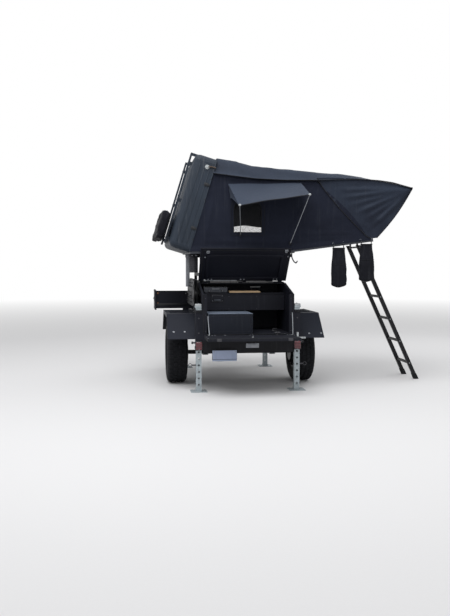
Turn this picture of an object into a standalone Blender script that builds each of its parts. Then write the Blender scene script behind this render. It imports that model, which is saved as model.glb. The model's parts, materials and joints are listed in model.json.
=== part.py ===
"""Off-road camping trailer with its kitchen hatch, tailgate, drawers and rooftop tent open.

Units are metres. In the trailer's own frame X points to its right, Y forward and Z up,
Y = 0 is the rear face of the tub and Z = 0 is the ground that its wheels and legs stand on.
"""

import math

import bmesh
import bpy
from mathutils import Matrix, Vector

TOUCH = 0.0003
RUNNING_GAP = 0.006
FUSE_STEP = 0.001

TUB_HALF_WIDTH = 0.57
TUB_LENGTH = 2.35
TUB_BOTTOM = 0.63
TUB_FLOOR_TOP = 0.70
TUB_REAR_TOP = 1.19
TUB_TOP = 1.318
TUB_SLOPE_LENGTH = 0.55
WALL = 0.025
SHEET = 0.012
POST_WIDTH = 0.035
POST_DEPTH = 0.06
BULKHEAD_Y = 1.0
DECK_REAR_Y = 0.565

CHASSIS_RAIL_X = 0.45
CHASSIS_RAIL_WIDTH = 0.07
CHASSIS_RAIL_HEIGHT = 0.10
CROSSMEMBER_WIDTH = 0.06
CROSSMEMBERS = 4
REAR_BEAM_HEIGHT = 0.153
REAR_BEAM_DEPTH = 0.06

AXLE_Y = 0.87
AXLE_TUBE = 0.05
SPINDLE_RADIUS = 0.025
SPRING_SPAN = 0.94
SPRING_WIDTH = 0.06
SPRING_LEAF = 0.012
SPRING_EYE_RADIUS = 0.022
SPRING_RISE = 0.04
HANGER_CHEEK = 0.012
HANGER_DEPTH = 0.07

TYRE_RADIUS = 0.395
TYRE_WIDTH = 0.265
RIM_RADIUS = 0.203
RIM_WIDTH = 0.20
WHEEL_X = 0.835
BORE_CLEARANCE = 0.0008

FENDER_OUTER_X = 0.98
FENDER_TOP = 0.93
FENDER_BOTTOM = 0.64
FENDER_HALF_TOP = 0.44
FENDER_HALF_LENGTH = 0.75
FENDER_SHEET = 0.006
FENDER_SKIRT = 0.045

TONGUE_LENGTH = 0.95
TONGUE_BEAM_WIDTH = 0.06
TONGUE_BEAM_HEIGHT = 0.10
TONGUE_NOSE_WIDTH = 0.10
TONGUE_NOSE_LENGTH = 0.25
COUPLER_LENGTH = 0.24
COUPLER_SOCKET_RADIUS = 0.045

TONGUE_JACK_Y = 3.0
TONGUE_JACK_RADIUS = 0.030
TONGUE_JACK_BORE = 0.025
TONGUE_JACK_BOTTOM = 0.30
TONGUE_JACK_TOP = 0.95
TONGUE_JACK_FOOT_RADIUS = 0.09

LEG_TUBE = 0.08
LEG_TUBE_WALL = 0.006
LEG_TUBE_SINK = 0.003
LEG_TUBE_BOTTOM = 0.52
LEG_TUBE_TOP = 1.0
LEG_TOP = 1.035
LEG_FOOT = 0.20
LEG_FOOT_THICKNESS = 0.008
LEG_INSET_Y = 0.045
LEG_FRONT_Y = 2.305

LAMP_WIDTH = 0.08
LAMP_HEIGHT = 0.10
LAMP_DEPTH = 0.032

PLATE_WIDTH = 0.30
PLATE_HEIGHT = 0.13
PLATE_CENTRE_X = -0.296
PLATE_TOP = 0.506
PLATE_THICKNESS = 0.004

LID_LENGTH = 0.575
LID_SHEET = 0.012
LID_OPEN_ANGLE = math.radians(48)
LID_PIVOT_LIFT = 0.012
LID_FRAME_INSET = 0.085
LID_FRAME_WIDTH = 0.03
LID_FRAME_DEPTH = 0.022
HINGE_RADIUS = 0.008
HINGE_LENGTH = 0.05
HINGE_GAP = 0.001

TAILGATE_HALF_WIDTH = 0.553
TAILGATE_THICKNESS = 0.03
TAILGATE_TOP = 1.182
TAILGATE_PIVOT_Y = -0.022
TAILGATE_PIVOT_Z = 0.68
TAILGATE_BOTTOM_GAP = 0.02

DRAWER_CASE_LEFT = -0.49
DRAWER_CASE_RIGHT = 0.055
DRAWER_CASE_BOTTOM = 0.7003
DRAWER_CASE_TOP = 0.955
DRAWER_CASE_DEPTH = 0.93
DRAWER_CASE_REAR = 0.022
DRAWER_WALL = 0.008
DRAWER_FRONT = 0.016
RUNNER_WIDTH = 0.03
RUNNER_INSET = 0.03

CABINET_REAR = 0.505
CABINET_BOTTOM = 0.965
CABINET_TOP = 1.169
COUNTER_THICKNESS = 0.02

SIDE_DRAWER_Y = 1.63
SIDE_DRAWER_WIDTH = 0.44
SIDE_DRAWER_BOTTOM = 0.945
SIDE_DRAWER_TOP = 1.175
SIDE_DRAWER_DEPTH = 0.56
SIDE_DRAWER_OUT = 0.50

BOARD_REAR = 0.12
BOARD_LENGTH = 1.08
BOARD_BOTTOM = 1.04
BOARD_HEIGHT = 0.33
BOARD_THICKNESS = 0.035

RACK_POST = 0.04
RACK_POST_X = 0.52
RACK_HALF_WIDTH = 0.66
RACK_BAR_BOTTOM = 1.65
RACK_BAR_TOP = 1.69
RACK_REAR_Y = 0.66
RACK_FRONT_Y = 1.50
RACK_BRACE_Z = 1.42

TENT_REAR = 0.25
TENT_WIDTH = 1.45
BASE_RIGHT = 0.45
BASE_THICKNESS = 0.045
FLOOR_LENGTH = 1.20
FLOOR_TILT = math.radians(7.5)
SHELL_HINGE_X = -0.70
SHELL_HINGE_Z = 1.705
SHELL_ANGLE = math.radians(73)
SHELL_LENGTH = 1.20
SHELL_DEPTH = 0.28
SHELL_WALL = 0.02
SHELL_ROUND = 0.07

CANOPY_WALL = 0.012
CANOPY_INSET = 0.01
CANOPY_ROOF_START = 1.12
CANOPY_VALLEY = (0.20, 2.625)
CANOPY_RIDGE = (0.90, 2.60)
CANOPY_END_INSET = 0.03
WINDOW_LEFT = -0.15
WINDOW_RIGHT = 0.50
WINDOW_BOTTOM = 1.955
WINDOW_TOP = 2.36

FLY_SHEET = 0.006
FLY_OVERHANG = 0.03
FLY_PROFILE = ((-0.335, 2.84), (0.05, 2.745), (0.43, 2.695), (0.90, 2.665), (1.50, 2.595), (2.10, 2.50))
FLY_WING_FOOT = (1.655, 1.90)

AWNING_TOP_LEFT = (-0.22, 2.553)
AWNING_TOP_RIGHT = (0.70, 2.577)
AWNING_EDGE_LEFT = (-0.146, 2.252)
AWNING_EDGE_RIGHT = (0.722, 2.390)
AWNING_EDGE_Y = -0.20
AWNING_SHEET = 0.006
AWNING_ROD_RADIUS = 0.005
AWNING_ROD_FEET = ((-0.066, 1.925), (0.566, 1.819))

LADDER_PIVOT = (1.60, 1.785)
LADDER_FOOT_X = 2.42
LADDER_NEAR_Y = 0.72
LADDER_FAR_Y = 1.22
LADDER_RAIL_DEPTH = 0.05
LADDER_RAIL_WIDTH = 0.032
LADDER_HEAD = 0.03
LADDER_RUNG_RADIUS = 0.014
LADDER_RUNGS = 5
LADDER_RUNG_STEP = 0.33
LADDER_FIRST_RUNG = 0.24
LADDER_PIN_RADIUS = 0.012

BAG_WIDTH = 0.19
BAG_DEPTH = 0.10
SHELL_BAR_GAP = 0.03
SHELL_BAR_HEIGHT = 0.025
SHELL_BAR_WIDTH = 0.04
SHELL_BAR_PLACES = (0.22, 1.18)
GEAR_BAG_START = 0.05
GEAR_BAG_LENGTH = 0.40
GEAR_BAG_DEPTH = 0.15
GEAR_BAG_WIDTH = 1.25

ROUND_STEPS = 32
WHEEL_STEPS = 48

collection = bpy.data.collections.new("camp_trailer")


def clear_scene():
    for existing in list(bpy.data.objects):
        bpy.data.objects.remove(existing)
    bpy.context.scene.collection.children.link(collection)


def finish(name, colour, roughness, metallic=0.0):
    """A Principled material."""
    made = bpy.data.materials.new(name)
    made.use_nodes = True
    shader = made.node_tree.nodes["Principled BSDF"]
    shader.inputs["Base Color"].default_value = (*colour, 1.0)
    shader.inputs["Roughness"].default_value = roughness
    shader.inputs["Metallic"].default_value = metallic
    return made


def add_object(name, mesh, look):
    piece = bpy.data.objects.new(name, mesh)
    if look:
        mesh.materials.clear()
        mesh.materials.append(look)
    collection.objects.link(piece)
    return piece


def bake(piece):
    """Replaces the piece's mesh by its evaluated one, closed and with its faces out."""
    graph = bpy.context.evaluated_depsgraph_get()
    mesh = bpy.data.meshes.new_from_object(piece.evaluated_get(graph))
    piece.modifiers.clear()
    piece.data = mesh
    weld(mesh)
    return piece


def weld(mesh):
    work = bmesh.new()
    work.from_mesh(mesh)
    bmesh.ops.remove_doubles(work, verts=work.verts, dist=0.00001)
    bmesh.ops.recalc_face_normals(work, faces=work.faces)
    work.to_mesh(mesh)
    work.free()


def combine(operation, base, tools):
    for tool in tools:
        change = base.modifiers.new(operation.title(), "BOOLEAN")
        change.operation = operation
        change.object = tool
    bake(base)
    for tool in tools:
        bpy.data.objects.remove(tool)
    return base


def fuse(base, *others):
    return combine("UNION", base, others)


def cut(base, *cutters):
    return combine("DIFFERENCE", base, cutters)


def rounded(piece, width, segments=3, angle=math.radians(40)):
    bevel = piece.modifiers.new("Round", "BEVEL")
    bevel.width = width
    bevel.segments = segments
    bevel.limit_method = "ANGLE"
    bevel.angle_limit = angle
    return bake(piece)


def block(name, low, high, look=None):
    """A box between its lowest and highest corners."""
    work = bmesh.new()
    size = Vector(high) - Vector(low)
    bmesh.ops.create_cube(work, size=1.0)
    bmesh.ops.scale(work, vec=size, verts=work.verts)
    bmesh.ops.translate(work, vec=(Vector(high) + Vector(low)) / 2, verts=work.verts)
    mesh = bpy.data.meshes.new(name)
    work.to_mesh(mesh)
    work.free()
    return add_object(name, mesh, look)


AXES = {
    "X": Matrix(((0, 0, 1), (1, 0, 0), (0, 1, 0))).to_4x4(),
    "Y": Matrix(((1, 0, 0), (0, 0, -1), (0, 1, 0))).to_4x4(),
    "Z": Matrix.Identity(4),
}


def cylinder(name, axis, centre, radius, start, end, look=None, steps=ROUND_STEPS):
    """A round bar along X, Y or Z. centre holds the two other coordinates."""
    work = bmesh.new()
    bmesh.ops.create_cone(work, cap_ends=True, segments=steps, radius1=radius, radius2=radius, depth=end - start)
    middle = (start + end) / 2
    turn = {"X": Matrix.Rotation(math.pi / 2, 4, "Y"), "Y": Matrix.Rotation(math.pi / 2, 4, "X"), "Z": Matrix.Identity(4)}
    place = {"X": (middle, *centre), "Y": (centre[0], middle, centre[1]), "Z": (*centre, middle)}
    bmesh.ops.transform(work, matrix=Matrix.Translation(place[axis]) @ turn[axis], verts=work.verts)
    mesh = bpy.data.meshes.new(name)
    work.to_mesh(mesh)
    work.free()
    return add_object(name, mesh, look)


def plate(name, axis, outlines, start, end, look=None):
    """Flat outlines, the first with the others as holes, extruded along an axis from start to end.

    The outline's two coordinates are (Y, Z) along X, (X, Z) along Y and (X, Y) along Z.
    """
    curve = bpy.data.curves.new(name, "CURVE")
    curve.dimensions = "2D"
    curve.fill_mode = "BOTH"
    curve.extrude = (end - start) / 2
    for outline in outlines:
        spline = curve.splines.new("POLY")
        spline.points.add(len(outline) - 1)
        for point, (across, up) in zip(spline.points, outline):
            point.co = (across, up, 0.0, 1.0)
        spline.use_cyclic_u = True
    drawn = bpy.data.objects.new(name, curve)
    collection.objects.link(drawn)
    graph = bpy.context.evaluated_depsgraph_get()
    mesh = bpy.data.meshes.new_from_object(drawn.evaluated_get(graph))
    bpy.data.objects.remove(drawn)
    middle = (start + end) / 2
    offset = {"X": (middle, 0, 0), "Y": (0, middle, 0), "Z": (0, 0, middle)}[axis]
    mesh.transform(Matrix.Translation(offset) @ AXES[axis])
    weld(mesh)
    return add_object(name, mesh, look)


def turned(name, profile, look=None, steps=ROUND_STEPS, closed=True):
    """A profile of (radius, height) points turned about Z."""
    count = len(profile)
    edges = [(index, index + 1) for index in range(count - 1)]
    if closed:
        edges.append((count - 1, 0))
    mesh = bpy.data.meshes.new(name)
    mesh.from_pydata([(radius, 0.0, height) for radius, height in profile], edges, [])
    piece = add_object(name, mesh, look)
    screw = piece.modifiers.new("Turn", "SCREW")
    screw.axis = "Z"
    screw.steps = steps
    screw.render_steps = steps
    screw.use_merge_vertices = True
    screw.merge_threshold = 0.0001
    return bake(piece)


def bent_sheet(name, path, axis, start, end, thickness, look=None):
    """An open path swept along X or Y and given its thickness on the path's left side."""
    work = bmesh.new()
    corners = [AXES[axis] @ Vector((across, up, 0.0)) for across, up in path]
    verts = [work.verts.new(corner) for corner in corners]
    edges = [work.edges.new(pair) for pair in zip(verts, verts[1:])]
    unit = Vector((1, 0, 0)) if axis == "X" else Vector((0, 1, 0))
    bmesh.ops.translate(work, vec=unit * start, verts=work.verts)
    swept = bmesh.ops.extrude_edge_only(work, edges=edges)["geom"]
    far = [item for item in swept if isinstance(item, bmesh.types.BMVert)]
    bmesh.ops.translate(work, vec=unit * (end - start), verts=far)
    mesh = bpy.data.meshes.new(name)
    work.to_mesh(mesh)
    work.free()
    piece = add_object(name, mesh, look)
    solid = piece.modifiers.new("Thickness", "SOLIDIFY")
    solid.thickness = thickness
    solid.use_even_offset = True
    return bake(piece)


def bar(name, points, radius, look=None):
    """A round wire through the points."""
    curve = bpy.data.curves.new(name, "CURVE")
    curve.dimensions = "3D"
    curve.bevel_depth = radius
    curve.bevel_resolution = 2
    curve.use_fill_caps = True
    spline = curve.splines.new("POLY")
    spline.points.add(len(points) - 1)
    for point, place in zip(spline.points, points):
        point.co = (*place, 1.0)
    drawn = bpy.data.objects.new(name, curve)
    collection.objects.link(drawn)
    graph = bpy.context.evaluated_depsgraph_get()
    mesh = bpy.data.meshes.new_from_object(drawn.evaluated_get(graph))
    bpy.data.objects.remove(drawn)
    weld(mesh)
    return add_object(name, mesh, look)


def smooth(piece, angle=math.radians(35)):
    piece.data.shade_smooth()
    piece.data.set_sharp_from_angle(angle=angle)
    return piece


def pivot(name, place, parent, rotation=(0.0, 0.0, 0.0)):
    """An empty that carries the pieces of one moving body, or a tilted group of pieces."""
    empty = bpy.data.objects.new(name, None)
    empty.empty_display_size = 0.1
    collection.objects.link(empty)
    empty.parent = parent
    empty.location = place
    empty.rotation_euler = rotation
    return empty


def hang(piece, carrier):
    """Parents a piece modelled in the trailer's frame, with its origin moved to its carrier's axis."""
    piece.data.transform(Matrix.Translation(-carrier.location))
    piece.parent = carrier
    return piece


def attach(piece, carrier):
    """Parents a piece that is modelled in its carrier's own frame."""
    piece.parent = carrier
    return piece


def chassis(looks, frame):
    top = TUB_BOTTOM - TOUCH
    bottom = TUB_BOTTOM - CHASSIS_RAIL_HEIGHT
    half = CHASSIS_RAIL_WIDTH / 2
    beam_bottom = TUB_BOTTOM - REAR_BEAM_HEIGHT
    beam_half = TUB_HALF_WIDTH - LEG_TUBE_SINK - TOUCH
    body = block("chassis", (-beam_half, 0, beam_bottom), (beam_half, REAR_BEAM_DEPTH, top), looks["frame"])
    pieces = []
    for side in (-1, 1):
        centre = side * CHASSIS_RAIL_X
        rail_low = (centre - half, REAR_BEAM_DEPTH / 2, bottom)
        pieces.append(block("rail", rail_low, (centre + half, TUB_LENGTH, top - 0.001)))
        for end in (-1, 1):
            middle = AXLE_Y + end * SPRING_SPAN / 2
            for cheek in (-1, 1):
                inner = centre + cheek * (SPRING_WIDTH / 2 + TOUCH)
                outer = inner + cheek * HANGER_CHEEK
                low = (min(inner, outer), middle - HANGER_DEPTH / 2, spring_eye_height() - SPRING_EYE_RADIUS)
                high = (max(inner, outer), middle + HANGER_DEPTH / 2, bottom + 0.02)
                pieces.append(block("hanger", low, high))
    inner = CHASSIS_RAIL_X - half + 0.01
    spacing = (TUB_LENGTH - CROSSMEMBER_WIDTH - REAR_BEAM_DEPTH) / CROSSMEMBERS
    for index in range(1, CROSSMEMBERS + 1):
        near = REAR_BEAM_DEPTH + index * spacing
        pieces.append(block("crossmember", (-inner, near, bottom + 0.015), (inner, near + CROSSMEMBER_WIDTH, top - 0.012)))
    fuse(body, *pieces)
    return attach(body, frame)


def spring_eye_height():
    return TYRE_RADIUS + AXLE_TUBE / 2 + SPRING_LEAF + SPRING_RISE


def drawbar(looks, frame):
    near = TUB_LENGTH + TOUCH
    far = TUB_LENGTH + TONGUE_LENGTH
    bottom = TUB_BOTTOM - TONGUE_BEAM_HEIGHT
    top = TUB_BOTTOM - TOUCH
    reach = CHASSIS_RAIL_X + CHASSIS_RAIL_WIDTH / 2
    body = block("drawbar", (-reach, near, bottom), (reach, near + TONGUE_BEAM_WIDTH, top), looks["frame"])
    nose_half = TONGUE_NOSE_WIDTH / 2
    nose_near = far - TONGUE_NOSE_LENGTH
    pieces = [block("nose", (-nose_half, nose_near, bottom + FUSE_STEP), (nose_half, far, top - FUSE_STEP))]
    for side in (-1, 1):
        outer = reach
        inner = reach - TONGUE_BEAM_WIDTH * 1.15
        tip = TONGUE_BEAM_WIDTH * 0.2
        outline = [
            (side * outer, near + 0.01),
            (side * (tip + TONGUE_BEAM_WIDTH), nose_near + 0.12),
            (side * tip, nose_near + 0.12),
            (side * inner, near + 0.01),
        ]
        pieces.append(plate("beam", "Z", [outline], bottom + FUSE_STEP * 2, top - FUSE_STEP * 2))
    fuse(body, *pieces)
    return attach(body, frame)


def coupler(looks, frame):
    near = TUB_LENGTH + TONGUE_LENGTH + TOUCH
    middle = TUB_BOTTOM - TONGUE_BEAM_HEIGHT / 2
    half = TONGUE_NOSE_WIDTH / 2
    far = near + COUPLER_LENGTH - COUPLER_SOCKET_RADIUS
    body = block("coupler", (-half, near, middle - 0.035), (half, near + 0.09, middle + 0.045), looks["steel"])
    neck = block("neck", (-0.032, near + 0.05, middle - 0.02), (0.032, far, middle + 0.04))
    head = cylinder("head", "Z", (0, far), COUPLER_SOCKET_RADIUS, middle - 0.045, middle + 0.042)
    handle = block("handle", (-0.012, near + 0.06, middle + 0.03), (0.012, far + 0.005, middle + 0.075))
    fuse(body, neck, head, handle)
    socket = cylinder("socket", "Z", (0, far), COUPLER_SOCKET_RADIUS - 0.012, middle - 0.06, middle + 0.01)
    cut(body, socket)
    return attach(body, frame)


def tongue_jack(looks, frame):
    body = cylinder(
        "tongue_jack_tube", "Z", (0, TONGUE_JACK_Y), TONGUE_JACK_RADIUS, TONGUE_JACK_BOTTOM, TONGUE_JACK_TOP, looks["frame"]
    )
    deck = TUB_BOTTOM - FUSE_STEP
    flange = block("flange", (-0.15, TONGUE_JACK_Y - 0.07, deck), (0.15, TONGUE_JACK_Y + 0.07, deck + 0.01))
    head = cylinder("head", "Z", (0, TONGUE_JACK_Y), 0.042, TONGUE_JACK_TOP - 0.07, TONGUE_JACK_TOP + 0.02)
    crank_height = TONGUE_JACK_TOP - 0.02
    crank = bar(
        "crank",
        [
            (0, TONGUE_JACK_Y, crank_height),
            (0.11, TONGUE_JACK_Y, crank_height),
            (0.12, TONGUE_JACK_Y, crank_height + 0.14),
            (0.20, TONGUE_JACK_Y, crank_height + 0.14),
        ],
        0.008,
    )
    fuse(body, flange, head, crank)
    cut(body, cylinder("bore", "Z", (0, TONGUE_JACK_Y), TONGUE_JACK_BORE, TONGUE_JACK_BOTTOM - 0.05, TONGUE_JACK_TOP - 0.04))
    attach(smooth(body), frame)

    carrier = pivot("tongue_jack_slide", (0, TONGUE_JACK_Y, 0), frame)
    radius = TONGUE_JACK_BORE - BORE_CLEARANCE
    leg = cylinder("tongue_jack_leg", "Z", (0, TONGUE_JACK_Y), radius, 0.005, 0.62, looks["galvanised"])
    fuse(leg, cylinder("foot", "Z", (0, TONGUE_JACK_Y), TONGUE_JACK_FOOT_RADIUS, 0.0, 0.012))
    hang(smooth(leg), carrier)


def axle(looks, frame):
    half = AXLE_TUBE / 2
    reach = WHEEL_X - TYRE_WIDTH / 2 - 0.02
    body = block("axle", (-reach, AXLE_Y - half, TYRE_RADIUS - half), (reach, AXLE_Y + half, TYRE_RADIUS + half), looks["frame"])
    tips = WHEEL_X + 0.035
    fuse(body, cylinder("spindle", "X", (AXLE_Y, TYRE_RADIUS), SPINDLE_RADIUS - 0.002, -tips, tips))
    return attach(body, frame)


def springs(looks, frame):
    middle_bottom = TYRE_RADIUS + AXLE_TUBE / 2 + TOUCH
    eye_height = spring_eye_height()
    half = SPRING_SPAN / 2

    def leaf(reach, level, steps=10):
        """Outline of one leaf between -reach and +reach of the axle."""
        lower = []
        for step in range(steps + 1):
            along = -reach + 2 * reach * step / steps
            rise = (eye_height - SPRING_LEAF / 2 - middle_bottom) * (along / half) ** 2
            lower.append((AXLE_Y + along, middle_bottom + rise + level * (SPRING_LEAF - 0.001)))
        upper = [(across, up + SPRING_LEAF) for across, up in reversed(lower)]
        return lower + upper

    for side, name in ((-1, "spring_left"), (1, "spring_right")):
        inner = side * CHASSIS_RAIL_X - SPRING_WIDTH / 2
        outer = side * CHASSIS_RAIL_X + SPRING_WIDTH / 2
        body = plate(name, "X", [leaf(half, 0)], inner, outer, looks["frame"])
        pieces = [
            plate("leaf", "X", [leaf(half * 0.72, 1)], inner + 0.001, outer - 0.001),
            plate("leaf", "X", [leaf(half * 0.42, 2)], inner + 0.002, outer - 0.002),
        ]
        for end in (-1, 1):
            centre = (AXLE_Y + end * half, eye_height)
            pieces.append(cylinder("eye", "X", centre, SPRING_EYE_RADIUS - 0.003, inner, outer, steps=16))
        fuse(body, *pieces)
        attach(body, frame)


def tub(looks, frame):
    paint = looks["tub"]
    inner = TUB_HALF_WIDTH - WALL
    profile = [
        (0.0, TUB_BOTTOM),
        (TUB_LENGTH, TUB_BOTTOM),
        (TUB_LENGTH, TUB_TOP),
        (TUB_SLOPE_LENGTH, TUB_TOP),
        (0.0, TUB_REAR_TOP),
    ]
    for side, name in ((-1, "tub_side_left"), (1, "tub_side_right")):
        ends = sorted((side * inner, side * TUB_HALF_WIDTH))
        wall = plate(name, "X", [profile], *ends, paint)
        tubes = [leg_tube(side, along) for along in (LEG_INSET_Y, LEG_FRONT_Y)]
        fuse(wall, *tubes)
        if side < 0:
            around = RUNNING_GAP + SHEET + TOUCH
            half = SIDE_DRAWER_WIDTH / 2 + around
            low = (-TUB_HALF_WIDTH - 0.05, SIDE_DRAWER_Y - half, SIDE_DRAWER_BOTTOM - around)
            high = (-inner + 0.05, SIDE_DRAWER_Y + half, SIDE_DRAWER_TOP + around)
            cut(wall, block("opening", low, high))
        attach(wall, frame)

    between = inner - TOUCH
    floor = block("tub_floor", (-between, 0, TUB_BOTTOM), (between, TUB_LENGTH - WALL - TOUCH, TUB_FLOOR_TOP), paint)
    bays = 3
    pitch = (TUB_LENGTH - WALL - 0.10) / bays
    pans = []
    for index in range(bays):
        near = 0.08 + index * pitch
        pans.append(block("pan", (-between + 0.04, near, TUB_BOTTOM - 0.05), (between - 0.04, near + pitch - 0.04, TUB_FLOOR_TOP - SHEET)))
    cut(floor, *pans)
    posts = []
    for side in (-1, 1):
        ends = sorted((side * (inner - POST_WIDTH), side * between))
        posts.append(block("post", (ends[0], 0.0, TUB_FLOOR_TOP - 0.02), (ends[1], POST_DEPTH, TUB_REAR_TOP - TOUCH)))
    posts += tailgate_fixed_hinges()
    fuse(floor, *posts)
    attach(smooth(floor), frame)

    front_low = (-between, TUB_LENGTH - WALL, TUB_BOTTOM)
    front = block("tub_front", front_low, (between, TUB_LENGTH, TUB_TOP), paint)
    deck_low = (-between, DECK_REAR_Y, TUB_TOP - SHEET)
    deck = block("deck", deck_low, (between, TUB_LENGTH - 0.005, TUB_TOP - 0.0005))
    knuckles = lid_fixed_hinges()
    fuse(front, deck, *knuckles)
    attach(smooth(front), frame)

    wall_low = (-between, BULKHEAD_Y, TUB_FLOOR_TOP + TOUCH)
    wall = block("bulkhead", wall_low, (between, BULKHEAD_Y + SHEET, TUB_TOP - SHEET - TOUCH), paint)
    attach(wall, frame)


def leg_tube(side, along):
    """The black outer tube of one drop leg, with its bore, standing against the tub's side."""
    half = LEG_TUBE / 2
    centre = leg_centre_x(side)
    near_wall = side * (TUB_HALF_WIDTH - LEG_TUBE_SINK)
    ends = sorted((near_wall, centre + side * half))
    tube = block("leg_tube", (ends[0], along - half, LEG_TUBE_BOTTOM), (ends[1], along + half, LEG_TUBE_TOP))
    bore = half - LEG_TUBE_WALL
    hole = block("bore", (centre - bore, along - bore, LEG_TUBE_BOTTOM - 0.1), (centre + bore, along + bore, LEG_TUBE_TOP + 0.1))
    return cut(tube, hole)


def leg_centre_x(side):
    return side * (TUB_HALF_WIDTH + LEG_TUBE / 2)


def legs(looks, frame):
    half = LEG_TUBE / 2 - LEG_TUBE_WALL - BORE_CLEARANCE
    foot = LEG_FOOT / 2
    for side, across in ((-1, "left"), (1, "right")):
        for along, end in ((LEG_INSET_Y, "rear"), (LEG_FRONT_Y, "front")):
            centre = leg_centre_x(side)
            carrier = pivot(f"leg_{end}_{across}_slide", (centre, along, 0.0), frame)
            leg = block(f"leg_{end}_{across}", (centre - half, along - half, 0.002), (centre + half, along + half, LEG_TOP), looks["galvanised"])
            pad = block("pad", (centre - foot, along - foot, 0.0), (centre + foot, along + foot, LEG_FOOT_THICKNESS))
            fuse(leg, pad)
            hang(leg, carrier)


def hinge_places():
    spread = TAILGATE_HALF_WIDTH - 0.09
    return (-spread, 0.0, spread)


def tailgate_fixed_hinges():
    pieces = []
    for place in hinge_places():
        start = place - HINGE_LENGTH
        end = place
        centre = (TAILGATE_PIVOT_Y, TAILGATE_PIVOT_Z)
        pieces.append(cylinder("barrel", "X", centre, HINGE_RADIUS, start, end, steps=16))
        pieces.append(block("leaf", (start, TAILGATE_PIVOT_Y, TAILGATE_PIVOT_Z - 0.005), (end, 0.01, TAILGATE_PIVOT_Z + 0.005)))
    return pieces


def tailgate(looks, frame):
    """Modelled shut, then let down level."""
    carrier = pivot("tailgate_pivot", (0, TAILGATE_PIVOT_Y, TAILGATE_PIVOT_Z), frame)
    half = TAILGATE_THICKNESS / 2
    bottom = TAILGATE_BOTTOM_GAP
    top = TAILGATE_TOP - TAILGATE_PIVOT_Z
    width = TAILGATE_HALF_WIDTH
    panel = rounded(block("tailgate", (-width, -half, bottom), (width, half, top), looks["tub"]), 0.004, 2)
    pieces = []
    for place in hinge_places():
        start = place + HINGE_GAP
        end = start + HINGE_LENGTH
        pieces.append(cylinder("barrel", "X", (0, 0), HINGE_RADIUS, start, end, steps=16))
        pieces.append(block("leaf", (start, -0.005, 0.0), (end, 0.005, bottom + 0.01)))
    fuse(panel, *pieces)
    attach(smooth(panel), carrier)
    carrier.rotation_euler.x = math.pi / 2


def lid_pivot_place():
    return (0.0, TUB_SLOPE_LENGTH, TUB_TOP + LID_PIVOT_LIFT)


def lid_fixed_hinges():
    pieces = []
    _, along, height = lid_pivot_place()
    for place in hinge_places():
        start = place - HINGE_LENGTH
        pieces.append(cylinder("barrel", "X", (along, height), HINGE_RADIUS, start, place, steps=16))
        pieces.append(block("leaf", (start, along, TUB_TOP - 0.006), (place, along + 0.03, TUB_TOP + 0.006)))
        pieces.append(block("leaf", (start, along, TUB_TOP - 0.006), (place, along + 0.006, height)))
    return pieces


def lid(looks, frame):
    """A flat hatch with a stiffening frame below, modelled level and then raised."""
    carrier = pivot("lid_pivot", lid_pivot_place(), frame)
    half = LID_SHEET / 2
    width = TUB_HALF_WIDTH
    near = -0.02
    sheet = rounded(block("lid", (-width, -LID_LENGTH, -half), (width, near, half), looks["tub"]), 0.004, 2)
    reach = width - LID_FRAME_INSET
    below = -half - LID_FRAME_DEPTH
    outer = block("outer", (-reach, -LID_LENGTH + 0.10, below), (reach, near - 0.04, 0))
    inner_reach = reach - LID_FRAME_WIDTH
    hollow = block(
        "hollow",
        (-inner_reach, -LID_LENGTH + 0.10 + LID_FRAME_WIDTH, below - 0.01),
        (inner_reach, near - 0.04 - LID_FRAME_WIDTH, 0.01),
    )
    stiffener = cut(outer, hollow)
    pieces = [stiffener]
    for place in hinge_places():
        start = place + HINGE_GAP
        end = start + HINGE_LENGTH
        pieces.append(cylinder("barrel", "X", (0, 0), HINGE_RADIUS, start, end, steps=16))
        pieces.append(block("leaf", (start, near - 0.01, -0.005), (end, 0.0, 0.005)))
    fuse(sheet, *pieces)
    attach(smooth(sheet), carrier)
    carrier.rotation_euler.x = -LID_OPEN_ANGLE


def drawer_case(name, low, high, wall, opening, look):
    """A sheet-metal sleeve with one open end, 'rear' or 'left', and two runners that carry its drawer."""
    low, high = Vector(low), Vector(high)
    case = block(name, low, high, look)
    inner_low, inner_high = low + Vector((wall, wall, wall)), high - Vector((wall, wall, wall))
    runner_top = inner_low.z + RUNNING_GAP - TOUCH
    slide, across = (1, 0) if opening == "rear" else (0, 1)
    runners = []
    for edge in (inner_low[across] + RUNNER_INSET, inner_high[across] - RUNNER_INSET - RUNNER_WIDTH):
        start, end = Vector(inner_low), Vector(inner_high)
        start[across], end[across] = edge, edge + RUNNER_WIDTH
        start[slide] = low[slide] + FUSE_STEP
        start.z, end.z = low.z + wall / 2, runner_top
        end[slide] = inner_high[slide] - FUSE_STEP
        runners.append(block("runner", start, end))
    inner_low[slide] = low[slide] - 0.05
    cut(case, block("hollow", inner_low, inner_high))
    return fuse(case, *runners)


def tray(name, low, high, wall, front, look):
    """An open-topped drawer with a taller front, given as its lowest and highest corners."""
    low, high = Vector(low), Vector(high)
    body = block(name, low, high, look)
    hollow = block("hollow", low + Vector((wall, wall, wall)), high + Vector((-wall, -wall, 0.05)))
    cut(body, hollow)
    return fuse(body, block("front", *front))


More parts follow.
